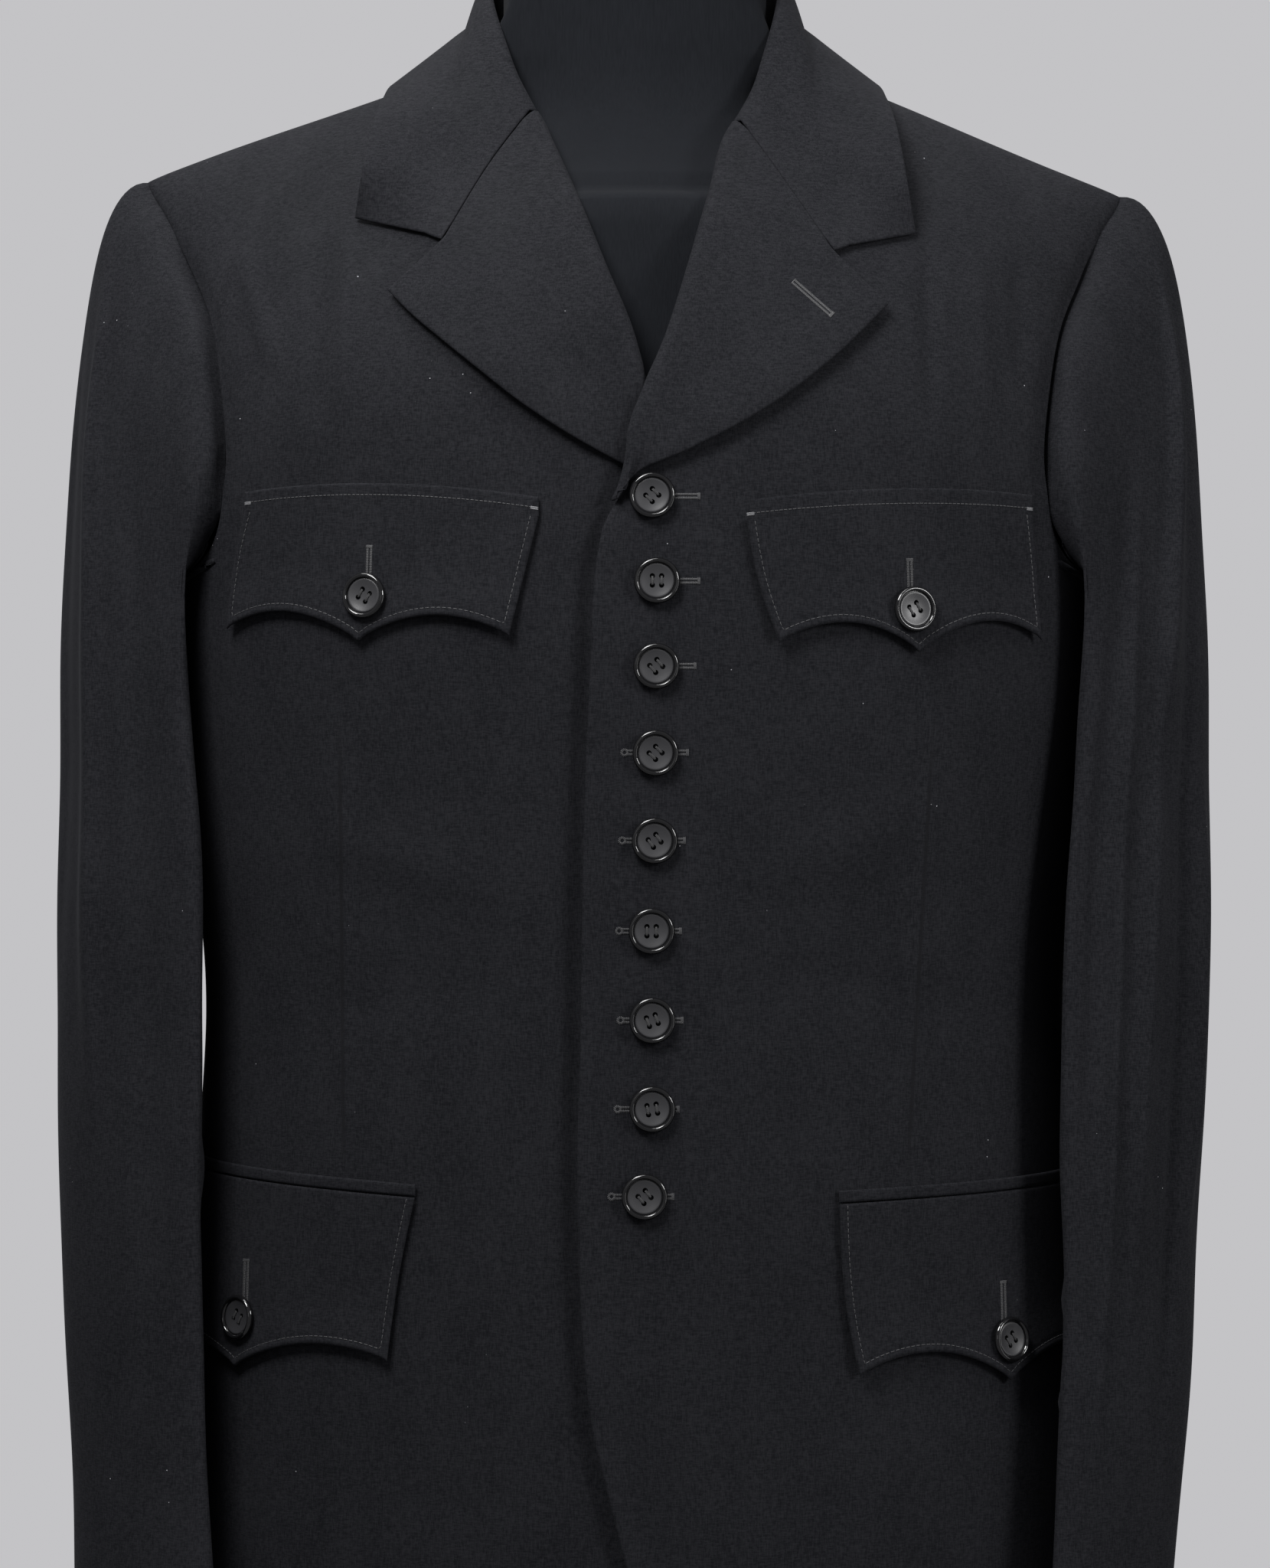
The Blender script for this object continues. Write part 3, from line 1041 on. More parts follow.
def fold_height(points, left, right, height, line):
    """A soft fold along a line, steeper on one side, that fades at its ends."""
    signed, along = line_distance(points, line)
    width = np.where(signed > 0, left, right)
    return height * np.exp(-(signed / width) ** 2) * ease(along / 0.3) * ease((1 - along) / 0.3)


def slow_waves(grid):
    """The slow unevenness of pressed cloth."""
    height = np.zeros(grid.shape[:-1])
    for number, (wave_x, wave_z, size) in enumerate(SLOW_WAVES):
        depth = grid[..., 1] * 9.0
        height += size * np.sin(grid[..., 0] * wave_x + grid[..., 2] * wave_z + depth + number)
    return height


def body_folds(side, behind, grid, strength):
    """Height of the folds in a front or a back."""
    flat = np.stack([grid[..., 0] * side, grid[..., 2]], axis=-1)
    height = slow_waves(grid)
    for row_side, row_behind, left, right, rise, line in BODY_FOLDS:
        if row_side == side and row_behind == behind:
            height = height + fold_height(flat, left, right, rise, line)
    lap = 1.0 if behind else ease((grid[..., 0] * side - 0.030) / 0.030)
    return height * strength * lap


def sleeve_folds(side, turn, grid, strength):
    """Height of the folds in a sleeve, at turns round it in radians."""
    flat = np.stack([turn * SLEEVE_TURN, grid[..., 2]], axis=-1)
    height = slow_waves(grid)
    for row_side, left, right, rise, line in SLEEVE_FOLDS:
        if row_side == side:
            drawn = [(radians(degrees) * SLEEVE_TURN, z) for degrees, z in line]
            for whole in (0.0, 2 * pi * SLEEVE_TURN):
                moved = [(place + whole, z) for place, z in drawn]
                height = height + fold_height(flat, left, right, rise, moved)
    return height * strength


def seam_dips(grid, seams, arm, deep):
    """How far the cloth sinks beside its seams: flags for its four edges, the armhole's edge."""
    distances = edge_distances(grid)
    sunk = np.zeros(grid.shape[:-1])
    for distance, seam in zip(distances, seams):
        if seam:
            sunk = np.maximum(sunk, SEAM_DIP * np.exp(-(distance / SEAM_REACH) ** 2))
    groove = deep * np.exp(-(distances[arm] / ARM_REACH) ** 2)
    up = grid[..., 2]
    groove = groove * ease((up - ARM_ENDS[0]) / 0.03) * (1 - 0.9 * ease((up - ARM_ENDS[1]) / 0.02))
    return -np.maximum(sunk, groove)


def sheet_mesh(name, face, normal, thickness, radius, rounded=(1, 1, 1, 1)):
    """A closed thin sheet behind a grid of points, with rounded edges and a map in metres."""
    near = np.full(face.shape[:-1], np.inf)
    distances = edge_distances(face)
    for distance, is_round in zip(distances, rounded):
        if is_round:
            near = np.minimum(near, distance)
    arc = np.clip(1.0 - near / radius, 0.0, 0.97)
    drop = (thickness / 2 * (1.0 - np.sqrt(1.0 - arc ** 2)))[..., None]
    outer = face - normal * drop
    inner = face - normal * (thickness - drop)
    rows, columns = face.shape[:2]
    count = rows * columns
    number = np.arange(count).reshape(rows, columns)
    quads = np.stack([number[:-1, :-1], number[:-1, 1:], number[1:, 1:], number[1:, :-1]], axis=-1)
    quads = quads.reshape(-1, 4)
    rim = np.concatenate((number[0, :-1], number[:-1, -1], number[-1, :0:-1], number[:0:-1, 0]))
    after = np.roll(rim, -1)
    wall = np.stack([rim, rim + count, after + count, after], axis=-1)
    faces = np.concatenate((quads, quads[:, ::-1] + count, wall))
    first = quads[len(quads) // 2]
    corner = outer.reshape(-1, 3)[first]
    facing = np.cross(corner[1] - corner[0], corner[2] - corner[0])
    if facing @ normal.reshape(-1, 3)[first[0]] < 0:
        faces = faces[:, ::-1]
    mesh = bpy.data.meshes.new(name)
    points = np.concatenate((outer.reshape(-1, 3), inner.reshape(-1, 3)))
    mesh.from_pydata(points.tolist(), [], faces.tolist())
    flat = np.stack([distances[0], distances[2]], axis=-1).reshape(-1, 2)
    flat = np.concatenate((flat, flat))
    layer = mesh.uv_layers.new(name="metres")
    corners = np.empty(len(mesh.loops), dtype=np.int32)
    mesh.loops.foreach_get("vertex_index", corners)
    layer.uv.foreach_set("vector", flat[corners].ravel().astype(np.float32))
    mesh.shade_smooth()
    mesh.validate()
    return mesh


def show(name, mesh, finish, nodes=()):
    """Put a piece in the scene, on the one body, in place of its solids."""
    item = bpy.data.objects.new(name, mesh)
    bpy.context.scene.collection.objects.link(item)
    if not mesh.materials:
        mesh.materials.append(LOOKS[finish]())
    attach(item, "root")
    if nodes:
        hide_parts(*nodes)
    return item


def show_sheet(name, face, normal, cloth_set, rounded=(1, 1, 1, 1), look=None):
    """Make a cloth sheet behind its face and show it in place of its solid."""
    mesh = sheet_mesh(name + "_cloth", face, normal, cloth_set.thickness, cloth_set.edge_radius,
                      rounded)
    if look:
        mesh.materials.append(look)
    return show(name + "_cloth", mesh, "cloth", [name])


def flat_area(mesh):
    """Half the surface of a closed sheet."""
    return sum(polygon.area for polygon in mesh.polygons) / 2


def declare(item):
    """State a sheet's cut: its flat width and length and its area, from its own map."""
    spots = np.empty(len(item.data.loops) * 2, dtype=np.float32)
    item.data.uv_layers[0].uv.foreach_get("vector", spots)
    spots = spots.reshape(-1, 2)
    wide, tall = np.ptp(spots, axis=0)
    area = flat_area(item.data)
    grow = max(1.0, (area / (wide * tall)) ** 0.5)
    flat = (float(round(wide * grow, 4)), float(round(tall * grow, 4)))
    area = min(area, flat[0] * flat[1])


def tree_of(*names):
    """A tree of shown pieces, for laying small parts on them."""
    points, faces = [], []
    for name in names:
        mesh = bpy.data.objects[name].data
        start = len(points)
        points += [vertex.co.copy() for vertex in mesh.vertices]
        faces += [[start + corner for corner in polygon.vertices] for polygon in mesh.polygons]
    return BVHTree.FromPolygons(points, faces)


def seen_from_front(tree, x, z):
    """The point and the outward direction of what is seen at x and z from in front."""
    point, normal = tree.ray_cast(Vector((x, -1.0, z)), Vector((0, 1, 0)))[:2]
    if point is None:
        raise RuntimeError(f"nothing lies at x {x:.4f}, z {z:.4f}")
    return np.array(point), np.array(normal if normal.y < 0 else -normal)


# One stitch, along x with a radius of one: rings of points, at places from -1 to 1
STITCH_RINGS = ((-1.0, 0.35), (-0.72, 1.0), (0.72, 1.0), (1.0, 0.35))
STITCH_SIDES = 6


def stitch_shape():
    """Points and faces of one stitch."""
    points = []
    for place, radius in STITCH_RINGS:
        for step in range(STITCH_SIDES):
            turn = 2 * pi * step / STITCH_SIDES
            points.append((place, radius * cos(turn), radius * sin(turn)))
    faces = [tuple(range(STITCH_SIDES))[::-1]]
    for ring in range(len(STITCH_RINGS) - 1):
        for step in range(STITCH_SIDES):
            low = ring * STITCH_SIDES + step
            high = ring * STITCH_SIDES + (step + 1) % STITCH_SIDES
            faces.append((low, high, high + STITCH_SIDES, low + STITCH_SIDES))
    last = (len(STITCH_RINGS) - 1) * STITCH_SIDES
    faces.append(tuple(last + step for step in range(STITCH_SIDES)))
    return np.array(points), faces


def stitches_mesh(name, rows):
    """A mesh of stitches from rows of start, end, outward direction and radius."""
    shape, shape_faces = stitch_shape()
    points, faces = [], []
    for start, end, up, radius in rows:
        along = (end - start) / 2
        across = unit(np.cross(up, along))
        rise = unit(np.cross(along, across))
        frame_of = np.stack([along, across * radius, rise * radius])
        base = len(points) * len(shape)
        points.append((start + end) / 2 + shape @ frame_of)
        faces += [tuple(base + corner for corner in face) for face in shape_faces]
    mesh = bpy.data.meshes.new(name)
    mesh.from_pydata(np.concatenate(points).tolist(), [], faces)
    mesh.shade_smooth()
    return mesh


def sew(name, rows, look=None):
    """Show stitches."""
    mesh = stitches_mesh(name, rows)
    mesh.materials.append(look or thread_look())
    return show(name, mesh, "cloth")


def along_path(path, normals, length, pitch, radius, lift):
    """Stitches laid in a line along a path."""
    steps = np.linalg.norm(np.diff(path, axis=0), axis=1)
    reach = np.concatenate(([0.0], np.cumsum(steps)))
    starts = np.arange(pitch * 0.3, reach[-1] - length, pitch)

    def at(places, table):
        return np.stack([np.interp(places, reach, table[:, axis]) for axis in range(3)], axis=-1)

    up = unit(at(starts + length / 2, normals))
    first = at(starts, path) + up * lift
    last = at(starts + length, path) + up * lift
    return [(a, b, n, radius) for a, b, n in zip(first, last, up)]


def hole_stitches(tree, start, end, eyelet, thread):
    """A worked buttonhole between two flat places: two rows of purls and a bar at its end."""
    start, end = np.array(start), np.array(end)
    length = np.linalg.norm(end - start)
    way = (end - start) / length
    side_way = np.array([-way[1], way[0]])
    rows = []

    def bar(from_place, to_place, radius, lift=0.0):
        first, normal = seen_from_front(tree, *from_place)
        last, other = seen_from_front(tree, *to_place)
        up = unit(normal + other)
        rows.append((first + up * lift, last + up * lift, up, radius))

    for place in np.arange(0.0, length, PURL_PITCH):
        middle = start + way * place
        for hand in (1, -1):
            bar(*(middle + side_way * reach * hand for reach in PURL), thread * 1.25, 0.00006)
    for shift in (-0.0004, 0.0, 0.0004):
        middle = end + way * (0.0003 + shift)
        bar(middle - side_way * BAR, middle + side_way * BAR, thread * 1.2, 0.00016)
    if eyelet:
        near, far, count = EYELET
        centre = start - way * near
        for step in range(count):
            turn = 2 * pi * step / count
            spoke = np.array([cos(turn), sin(turn)])
            bar(centre + spoke * near, centre + spoke * far, thread * 1.3, 0.00006)
    else:
        middle = start - way * 0.0003
        bar(middle - side_way * 0.0015, middle + side_way * 0.0015, thread * 1.2, 0.00016)
    return rows


def draw_fronts(cloth_set):
    """The two fronts, the wearer's left one on top."""
    for side, name in ((1, "front_left"), (-1, "front_right")):
        grid = front_grid(side)
        angle, z = grid[..., 0], grid[..., 1]
        face = refine(cloth(side, angle, z, lap_lift(side, angle, z)), CELL["front"])
        normal = away_from(face)
        rise = body_folds(side, False, face, cloth_set.fold_strength)
        rise = rise + seam_dips(face, (0, 1, 0, 1), 1, ARM_DIPS[0])
        up = face[..., 2]
        if side > 0:
            below = ease((EDGE_TOP - up) / 0.02)
            beside = 1 - ease(edge_distances(face)[0] / EDGE_REACH)
            hidden = ease((up - UNDER_LAPEL[1]) / 0.008)
            rise = rise + (EDGE_RISE * below - UNDER_LAPEL[0] * hidden) * beside
        else:
            below = ease((DIP_TOP - up) / 0.03)
            away = face[..., 0] - np.interp(up, *np.array(UPPER_EDGE).T[::-1]) + LAP_SHIFT
            rise = rise - LAP_DIP * below * np.exp(-(away / LAP_REACH) ** 2)
        face = face + normal * rise[..., None]
        item = show_sheet(name, face, away_from(face), cloth_set, look=wool_look(DARTS))
        declare(item)


def draw_backs(cloth_set):
    """The two backs."""
    for side, name in ((1, "back_left"), (-1, "back_right")):
        grid = back_grid(side)
        face = refine(cloth(side, grid[..., 0], grid[..., 1]), CELL["back"])
        normal = away_from(face)
        rise = body_folds(side, True, face, cloth_set.fold_strength)
        middle = ease(edge_distances(face)[1] / 0.03)
        rise = rise * middle + seam_dips(face, (1, 1, 0, 1), 1, ARM_DIPS[0])
        face = face + normal * rise[..., None]
        item = show_sheet(name, face, away_from(face), cloth_set)
        declare(item)


def draw_sleeves(cloth_set):
    """The two-piece sleeves, with soft folds along them."""
    for side, word in ((1, "left"), (-1, "right")):
        grid = sleeve_grid(side)
        start, turn, pulls = armhole(side)
        under = 1 - ease((start[:, 2:] - UNDER_ARM) / 0.025)
        for row, part in zip(grid, HEAD_RINGS):
            row -= pulls[:, :3] * (SLEEVE_GAP - HEAD_DROP * under) * (1 - part)
        inward = unit(start * np.array([-1.0, -1.0, 0.0]))
        deep = SLEEVE_TUCK * (1 - 0.9 * under)
        tuck = start + pulls[:, :3] * (TUCK_RISE * under - deep) + inward * deep * 0.6
        grid = np.concatenate((tuck[None], grid))
        count = grid.shape[1]
        front_seam, back_seam = 4 * FINER, count - 4 * FINER
        over = np.arange(front_seam, back_seam + 1)
        below = np.arange(back_seam, count + front_seam + 1)
        for name, columns in (("top_sleeve_" + word, over), ("under_sleeve_" + word, below)):
            turns = np.unwrap(turn[columns % count])
            marked = np.concatenate((grid[:, columns % count],
                                     np.broadcast_to(turns, (len(grid), len(turns)))[..., None]),
                                    axis=-1)
            drawn = refine(marked, CELL["sleeve"])
            face, turned = drawn[..., :3].copy(), drawn[..., 3]
            axis = (side * SLEEVE_AXIS[0], SLEEVE_AXIS[1])
            normal = away_from(face, axis)
            rise = sleeve_folds(side, turned, face, cloth_set.fold_strength)
            head = ease(edge_distances(face)[2] / 0.04)
            rise = rise * head + seam_dips(face, (1, 1, 1, 0), 2, ARM_DIPS[1])
            face = face + normal * rise[..., None]
            item = show_sheet(name, face, away_from(face, axis), cloth_set)
            declare(item)


def lapel_face(side):
    """A lapel's face, from inside its fold to its outer edge."""
    fold = fold_line(side)
    reach = np.cumsum(np.linalg.norm(np.diff(fold, axis=0), axis=1))
    edge = through(LAPEL_EDGE[side], np.concatenate(([0.0], reach / reach[-1])))
    gorge = gorge_line(side)
    tip = np.array(LAPEL_EDGE[side][-1])
    steps = np.arange(1, NOTCH_CELLS + 1)[:, None] / NOTCH_CELLS
    top = np.concatenate((gorge, gorge[-1] + (tip - gorge[-1]) * steps))
    over = np.linspace(0.0, 1.0, len(top))
    flat = patch(fold, edge, top, through((fold[0], edge[0]), over))
    strips = turned_strips(fold)[0]
    lift = lift_beside_fold()
    for column in range(1, len(top)):
        strips.append((flat[:, column, 0], flat[:, column, 1], np.full(len(fold), lift[column])))
    if side < 0:
        strips = [(x, z, up * pressed(x, z)) for x, z, up in strips]
    else:
        foot = LAPEL_FOOT[side]
        strips = [(x, z, up * (0.6 + 0.4 * ease((z - foot) / 0.03))) for x, z, up in strips]
    return place_turned(side, strips)


def pressed(x, z):
    """How much of its lift the right lapel keeps near where it passes under the left one."""
    away = np.hypot(x - UNDER_PASS[0], z - UNDER_PASS[1])
    return 0.35 + 0.65 * ease((away - 0.009) / 0.020)


def draw_lapels(cloth_set):
    """The turned-back lapels, a little off the chest along their outer edges."""
    for side, name in ((1, "lapel_left"), (-1, "lapel_right")):
        face = refine(lapel_face(side), CELL["lapel"])
        flat_part = np.s_[:, -20:]
        normal = away_from(face, part=flat_part)
        left, right, low, high = edge_distances(face)
        off = LAPEL_OFF * (1 - ease(right / 0.030)) * ease(left / 0.020) * ease(low / 0.02)
        belly = LAPEL_BELLY * np.sin(pi * np.clip(left / (left + right), 0, 1)) * ease(low / 0.02)
        face = face + normal * (off + belly)[..., None]
        item = show_sheet(name, face, away_from(face, part=flat_part), cloth_set)
        declare(item)


def draw_collar(cloth_set):
    """The folded collar round the neck."""
    tree = body_tree()
    left = collar_half(1, tree)[0]
    right = collar_half(-1, tree)[0]
    middle = (left[:1] + right[:1]) / 2
    face = refine(np.concatenate((right[:0:-1], middle, left[1:])), CELL["collar"][::-1])
    fall = np.s_[:, -12:]
    item = show_sheet("collar", face, away_from(face, part=fall), cloth_set)
    declare(item)


def flap_path(face, inset):
    """The line of a flap's topstitching, down one side, along the edge and up the other."""
    left, right, low, high = edge_distances(face)

    def pick(distance, along_rows, keep):
        found = []
        lines = range(face.shape[0]) if along_rows else range(face.shape[1])
        for line in lines:
            spot = np.s_[line, :] if along_rows else np.s_[:, line]
            order = np.argsort(distance[spot])
            reach = distance[spot][order]
            point = [np.interp(inset, reach, face[spot][order][:, axis]) for axis in range(3)]
            if np.interp(inset, reach, keep[spot][order]) > inset:
                found.append(point)
        return np.array(found)

    down_left = pick(left, True, high)
    down_right = pick(right, True, high)
    edge = pick(high, False, np.minimum(left, right))
    return np.concatenate((down_left, edge, down_right[::-1]))


def draw_flaps(cloth_set):
    """Pocket flaps with topstitching, and the bands and welts over them."""
    inset = cloth_set.stitch_inset
    for row, band in zip(FLAPS, BANDS):
        name, side = row[:2]
        chest = name.startswith("chest")
        angle, z, lift = flap_grid(row, 15, 48)
        face = refine(cloth(side, angle, z, lift), CELL["flap"])
        normal = away_from(face)
        left, right, high, low = edge_distances(face)
        sewn = np.minimum(np.minimum(left, right), low)
        rise = -0.00022 * np.exp(-((sewn - inset) / 0.0008) ** 2)
        rise += 0.00028 * np.exp(-((sewn - inset * 0.5) / 0.0012) ** 2)
        rise += 0.0009 * (1 - ease(low / 0.022))
        rise += 0.0005 * (1 - ease(np.minimum(left, right) / 0.01))
        rise += body_folds(side, False, face, cloth_set.fold_strength)
        face = face + normal * rise[..., None]
        flap = show_sheet(name, face, away_from(face), cloth_set, (1, 1, not chest, 1))
        path = flap_path(face, inset)
        tree = tree_of(name + "_cloth")
        up = np.array([np.array(tree.find_nearest(Vector(point))[1]) for point in path])
        rows = along_path(path, up, cloth_set.stitch_length, cloth_set.stitch_pitch,
                          cloth_set.thread, 0.00004)
        band_item, band_rows, tacks = draw_band(band, row, cloth_set)
        sewing = sew(name + "_stitches", rows + band_rows)
        if tacks:
            sew(name + "_tacks", tacks, thread_look("tack_thread", TACK_TONE))
        declare(flap)


def draw_band(band, row, cloth_set):
    """The band or welt over a flap, and the sewing along it."""
    name, flap, height, rise = band
    side, (x, top), (wide, narrow) = row[1:4]
    chest = name.startswith("chest")
    across = np.linspace(-1.0, 1.0, 49)
    up = np.linspace(0.0, 1.0, 4)[:, None]
    centre = float(angle_of(np.array(x), np.array(top)))
    angle = arc_angles(side, centre, top, across * wide / 2 + 0 * up)
    bottom = 0.0 if chest else BAND_GAP
    tall = height + BAND_GAP - bottom + rise * (1 - across ** 2)
    z = flap_top(row, across) + bottom + tall * up
    face = refine(cloth(side, angle, z, np.full_like(z, FLAP_LIFT[0])), CELL["band"])
    normal = away_from(face)
    face = face + normal * body_folds(side, False, face, cloth_set.fold_strength)[..., None]
    item = show_sheet(name, face, normal, cloth_set, (1, 1, not chest, 1))
    rows, tacks = [], []
    if chest:
        line, up_way = face[6], normal[6]
        rows = along_path(line, up_way, cloth_set.stitch_length * 0.85,
                          cloth_set.stitch_pitch * 0.8, cloth_set.thread, 0.00005)
        for end, after in ((0, 1), (-1, -2)):
            way = unit(line[after * 8] - line[end])
            for shift in (-0.00045, 0.0, 0.00045):
                start = line[end] + up_way[end] * 0.0002 + way * 0.0002
                start = start + np.array([0.0, 0.0, shift - 0.0003])
                tacks.append((start, start + way * 0.0036, up_way[end], cloth_set.thread * 1.2))
    return item, rows, tacks


def draw_holes(cloth_set):
    """The worked buttonholes of the front, the flaps and the lapel."""
    tree = tree_of("front_left_cloth")
    rows = []
    for (right, left), (x, z) in zip(HOLE_ENDS, FRONT_BUTTONS):
        rows += hole_stitches(tree, (left, z), (right, z), True, cloth_set.thread)
    sew("front_buttonholes", rows)
    tree = tree_of("lapel_left_cloth")
    rows = hole_stitches(tree, *LAPEL_HOLE, False, cloth_set.thread)
    sew("lapel_buttonhole", rows)
    for row in FLAPS:
        name, side = row[:2]
        tree = tree_of(name + "_cloth")
        place = flap_button_place(row)[0]
        rise = FLAP_HOLE[name.split("_")[0]]
        end = (place[0] - side * 0.0006, place[2] + rise)
        rows = hole_stitches(tree, (place[0], place[2]), end, False, cloth_set.thread)
        sew(name + "_buttonhole", rows)


# A button's turned outline, shares of its radius and of its height, from the middle of its face
BUTTON_OUTLINE = (
    (0.00, 0.400), (0.20, 0.418), (0.38, 0.470), (0.54, 0.555), (0.66, 0.645), (0.715, 0.680),
    (0.735, 0.655), (0.750, 0.590), (0.765, 0.585), (0.778, 0.700), (0.795, 0.830), (0.820, 0.930),
    (0.850, 0.985), (0.880, 1.000), (0.910, 0.985), (0.945, 0.915), (0.975, 0.790), (0.995, 0.640),
    (1.000, 0.520), (0.985, 0.360), (0.940, 0.180), (0.860, 0.060), (0.700, 0.000), (0.00, 0.000),
)
DISH_SHARE = 0.74        # radius of a button's dish as a share of its own


def fine_button(button_set):
    """A button's mesh: a polished rim, a groove, a dish and four holes."""
    profile = [(BUTTON_RADIUS * out, BUTTON_HEIGHT * up) for out, up in BUTTON_OUTLINE]
    mesh = bpy.data.meshes.new("button_blank")
    mesh.from_pydata([(radius, 0.0, height) for radius, height in profile],
                     [(i, i + 1) for i in range(len(profile) - 1)], [])
    blank = bpy.data.objects.new("button_blank", mesh)
    bpy.context.scene.collection.objects.link(blank)
    screw = blank.modifiers.new("turn", "SCREW")
    screw.steps = screw.render_steps = button_set.steps
    screw.use_merge_vertices = True
    screw.merge_threshold = 0.00002
    cutter = bpy.data.meshes.new("button_cutter")
    work = bmesh.new()
    for step in range(4):
        turn = pi / 4 + step * pi / 2
        reach = BUTTON_PITCH / 2 ** 0.5
        place = Matrix.Translation((reach * cos(turn), reach * sin(turn), BUTTON_HEIGHT / 2))
        bmesh.ops.create_cone(work, cap_ends=True, segments=20, radius1=BUTTON_HOLE,
                              radius2=BUTTON_HOLE, depth=BUTTON_HEIGHT * 3, matrix=place)
    work.to_mesh(cutter)
    work.free()
    holes = bpy.data.objects.new("button_cutter", cutter)
    bpy.context.scene.collection.objects.link(holes)
    cut = blank.modifiers.new("holes", "BOOLEAN")
    cut.operation = "DIFFERENCE"
    cut.object = holes
    shown = blank.evaluated_get(bpy.context.evaluated_depsgraph_get())
    made = bpy.data.meshes.new_from_object(shown)
    made.name = "button"
    bpy.data.objects.remove(blank)
    bpy.data.objects.remove(holes)
    made.shade_smooth()
    made.set_sharp_from_angle(angle=radians(50))
    made.materials.clear()
    made.materials.append(button_look())
    return made


def button_threads():
    """The threads between a button's holes, two across."""
    reach = BUTTON_PITCH / 2
    height = BUTTON_HEIGHT * 0.50
    rows = []
    for x in (-reach, reach):
        for shift in (-0.00028, 0.0, 0.00028):
            start = np.array([x + shift, -reach, height])
            end = np.array([x + shift, reach, height])
            rows.append((start, end, np.array([0.0, 0.0, 1.0]), 0.00020))
    return stitches_mesh("button_thread", rows)


def draw_buttons(button_set):
    """Nine buttons down the front and one on each flap, sewn with four holes."""
    mesh = fine_button(button_set)
    threads = button_threads()
    threads.materials.append(thread_look("button_thread", [tone * 0.4 for tone in THREAD_TONE]))
    places = []
    for number, (x, z) in enumerate(FRONT_BUTTONS):
        angle = angle_of(np.array(x), np.array(z))
        lift = float(lap_lift(1, angle, np.array(z)))
        places.append((f"front_button_{number + 1}", body_point(1, angle, z),
                       body_normal(1, angle, z), lift, radians(BUTTON_TURNS[number])))
    for row in FLAPS:
        point, normal, lift = flap_button_place(row)
        tree = tree_of(row[0] + "_cloth")
        near, face_normal = tree.find_nearest(Vector(point + normal * lift))[:2]
        places.append((row[0].replace("flap", "button"), np.array(near), np.array(face_normal),
                       0.0, radians(30 * row[1])))
    for name, point, normal, lift, turn in places:
        item = show(name + "_face", mesh, "button", [name])
        item.matrix_world = lay_on(point, normal, lift + SEAM * 1.5, turn)
        thread = show(name + "_thread", threads, "cloth")
        thread.matrix_world = item.matrix_world


def smooth_neck(rings):
    """The form's rings with a fuller neck whose front flows into the chest."""
    up, (half, depth, middle) = rings[..., 2], FORM_NECK[2][1:]
    across, deep = abs(rings[..., 0]) / half, abs(rings[..., 1] - middle) / depth
    fuller = ((across ** 2 + deep ** 2) ** 2 / (across ** 4 + deep ** 4)) ** 0.25
    share = ease((up - 0.9440) / 0.004) * ease((middle - rings[..., 1]) / 0.02)
    rings[..., 0] *= 1 + (fuller - 1) * share
    rings[..., 1] = middle + (rings[..., 1] - middle) * (1 + (fuller - 1) * share)
    low, high = (int(np.argmin(abs(up[:, 0] - z))) for z in NECK_FLOW)
    part = (up[low:high + 1, :1] - up[low, 0]) / (up[high, 0] - up[low, 0])
    flow = rings[low] + (rings[high] - rings[low]) * part[..., None]
    share = ease((0.060 - abs(rings[..., 0])) / 0.020) * ease(-rings[..., 1] / 0.02)
    rings[low:high + 1] += (flow - rings[low:high + 1]) * share[low:high + 1, :, None]
    deep = rings[..., 1]
    for _ in range(NECK_ROUNDS):
        deep[1:-1] += share[1:-1] * ((deep[:-2] + deep[2:]) / 2 - deep[1:-1])
    return rings


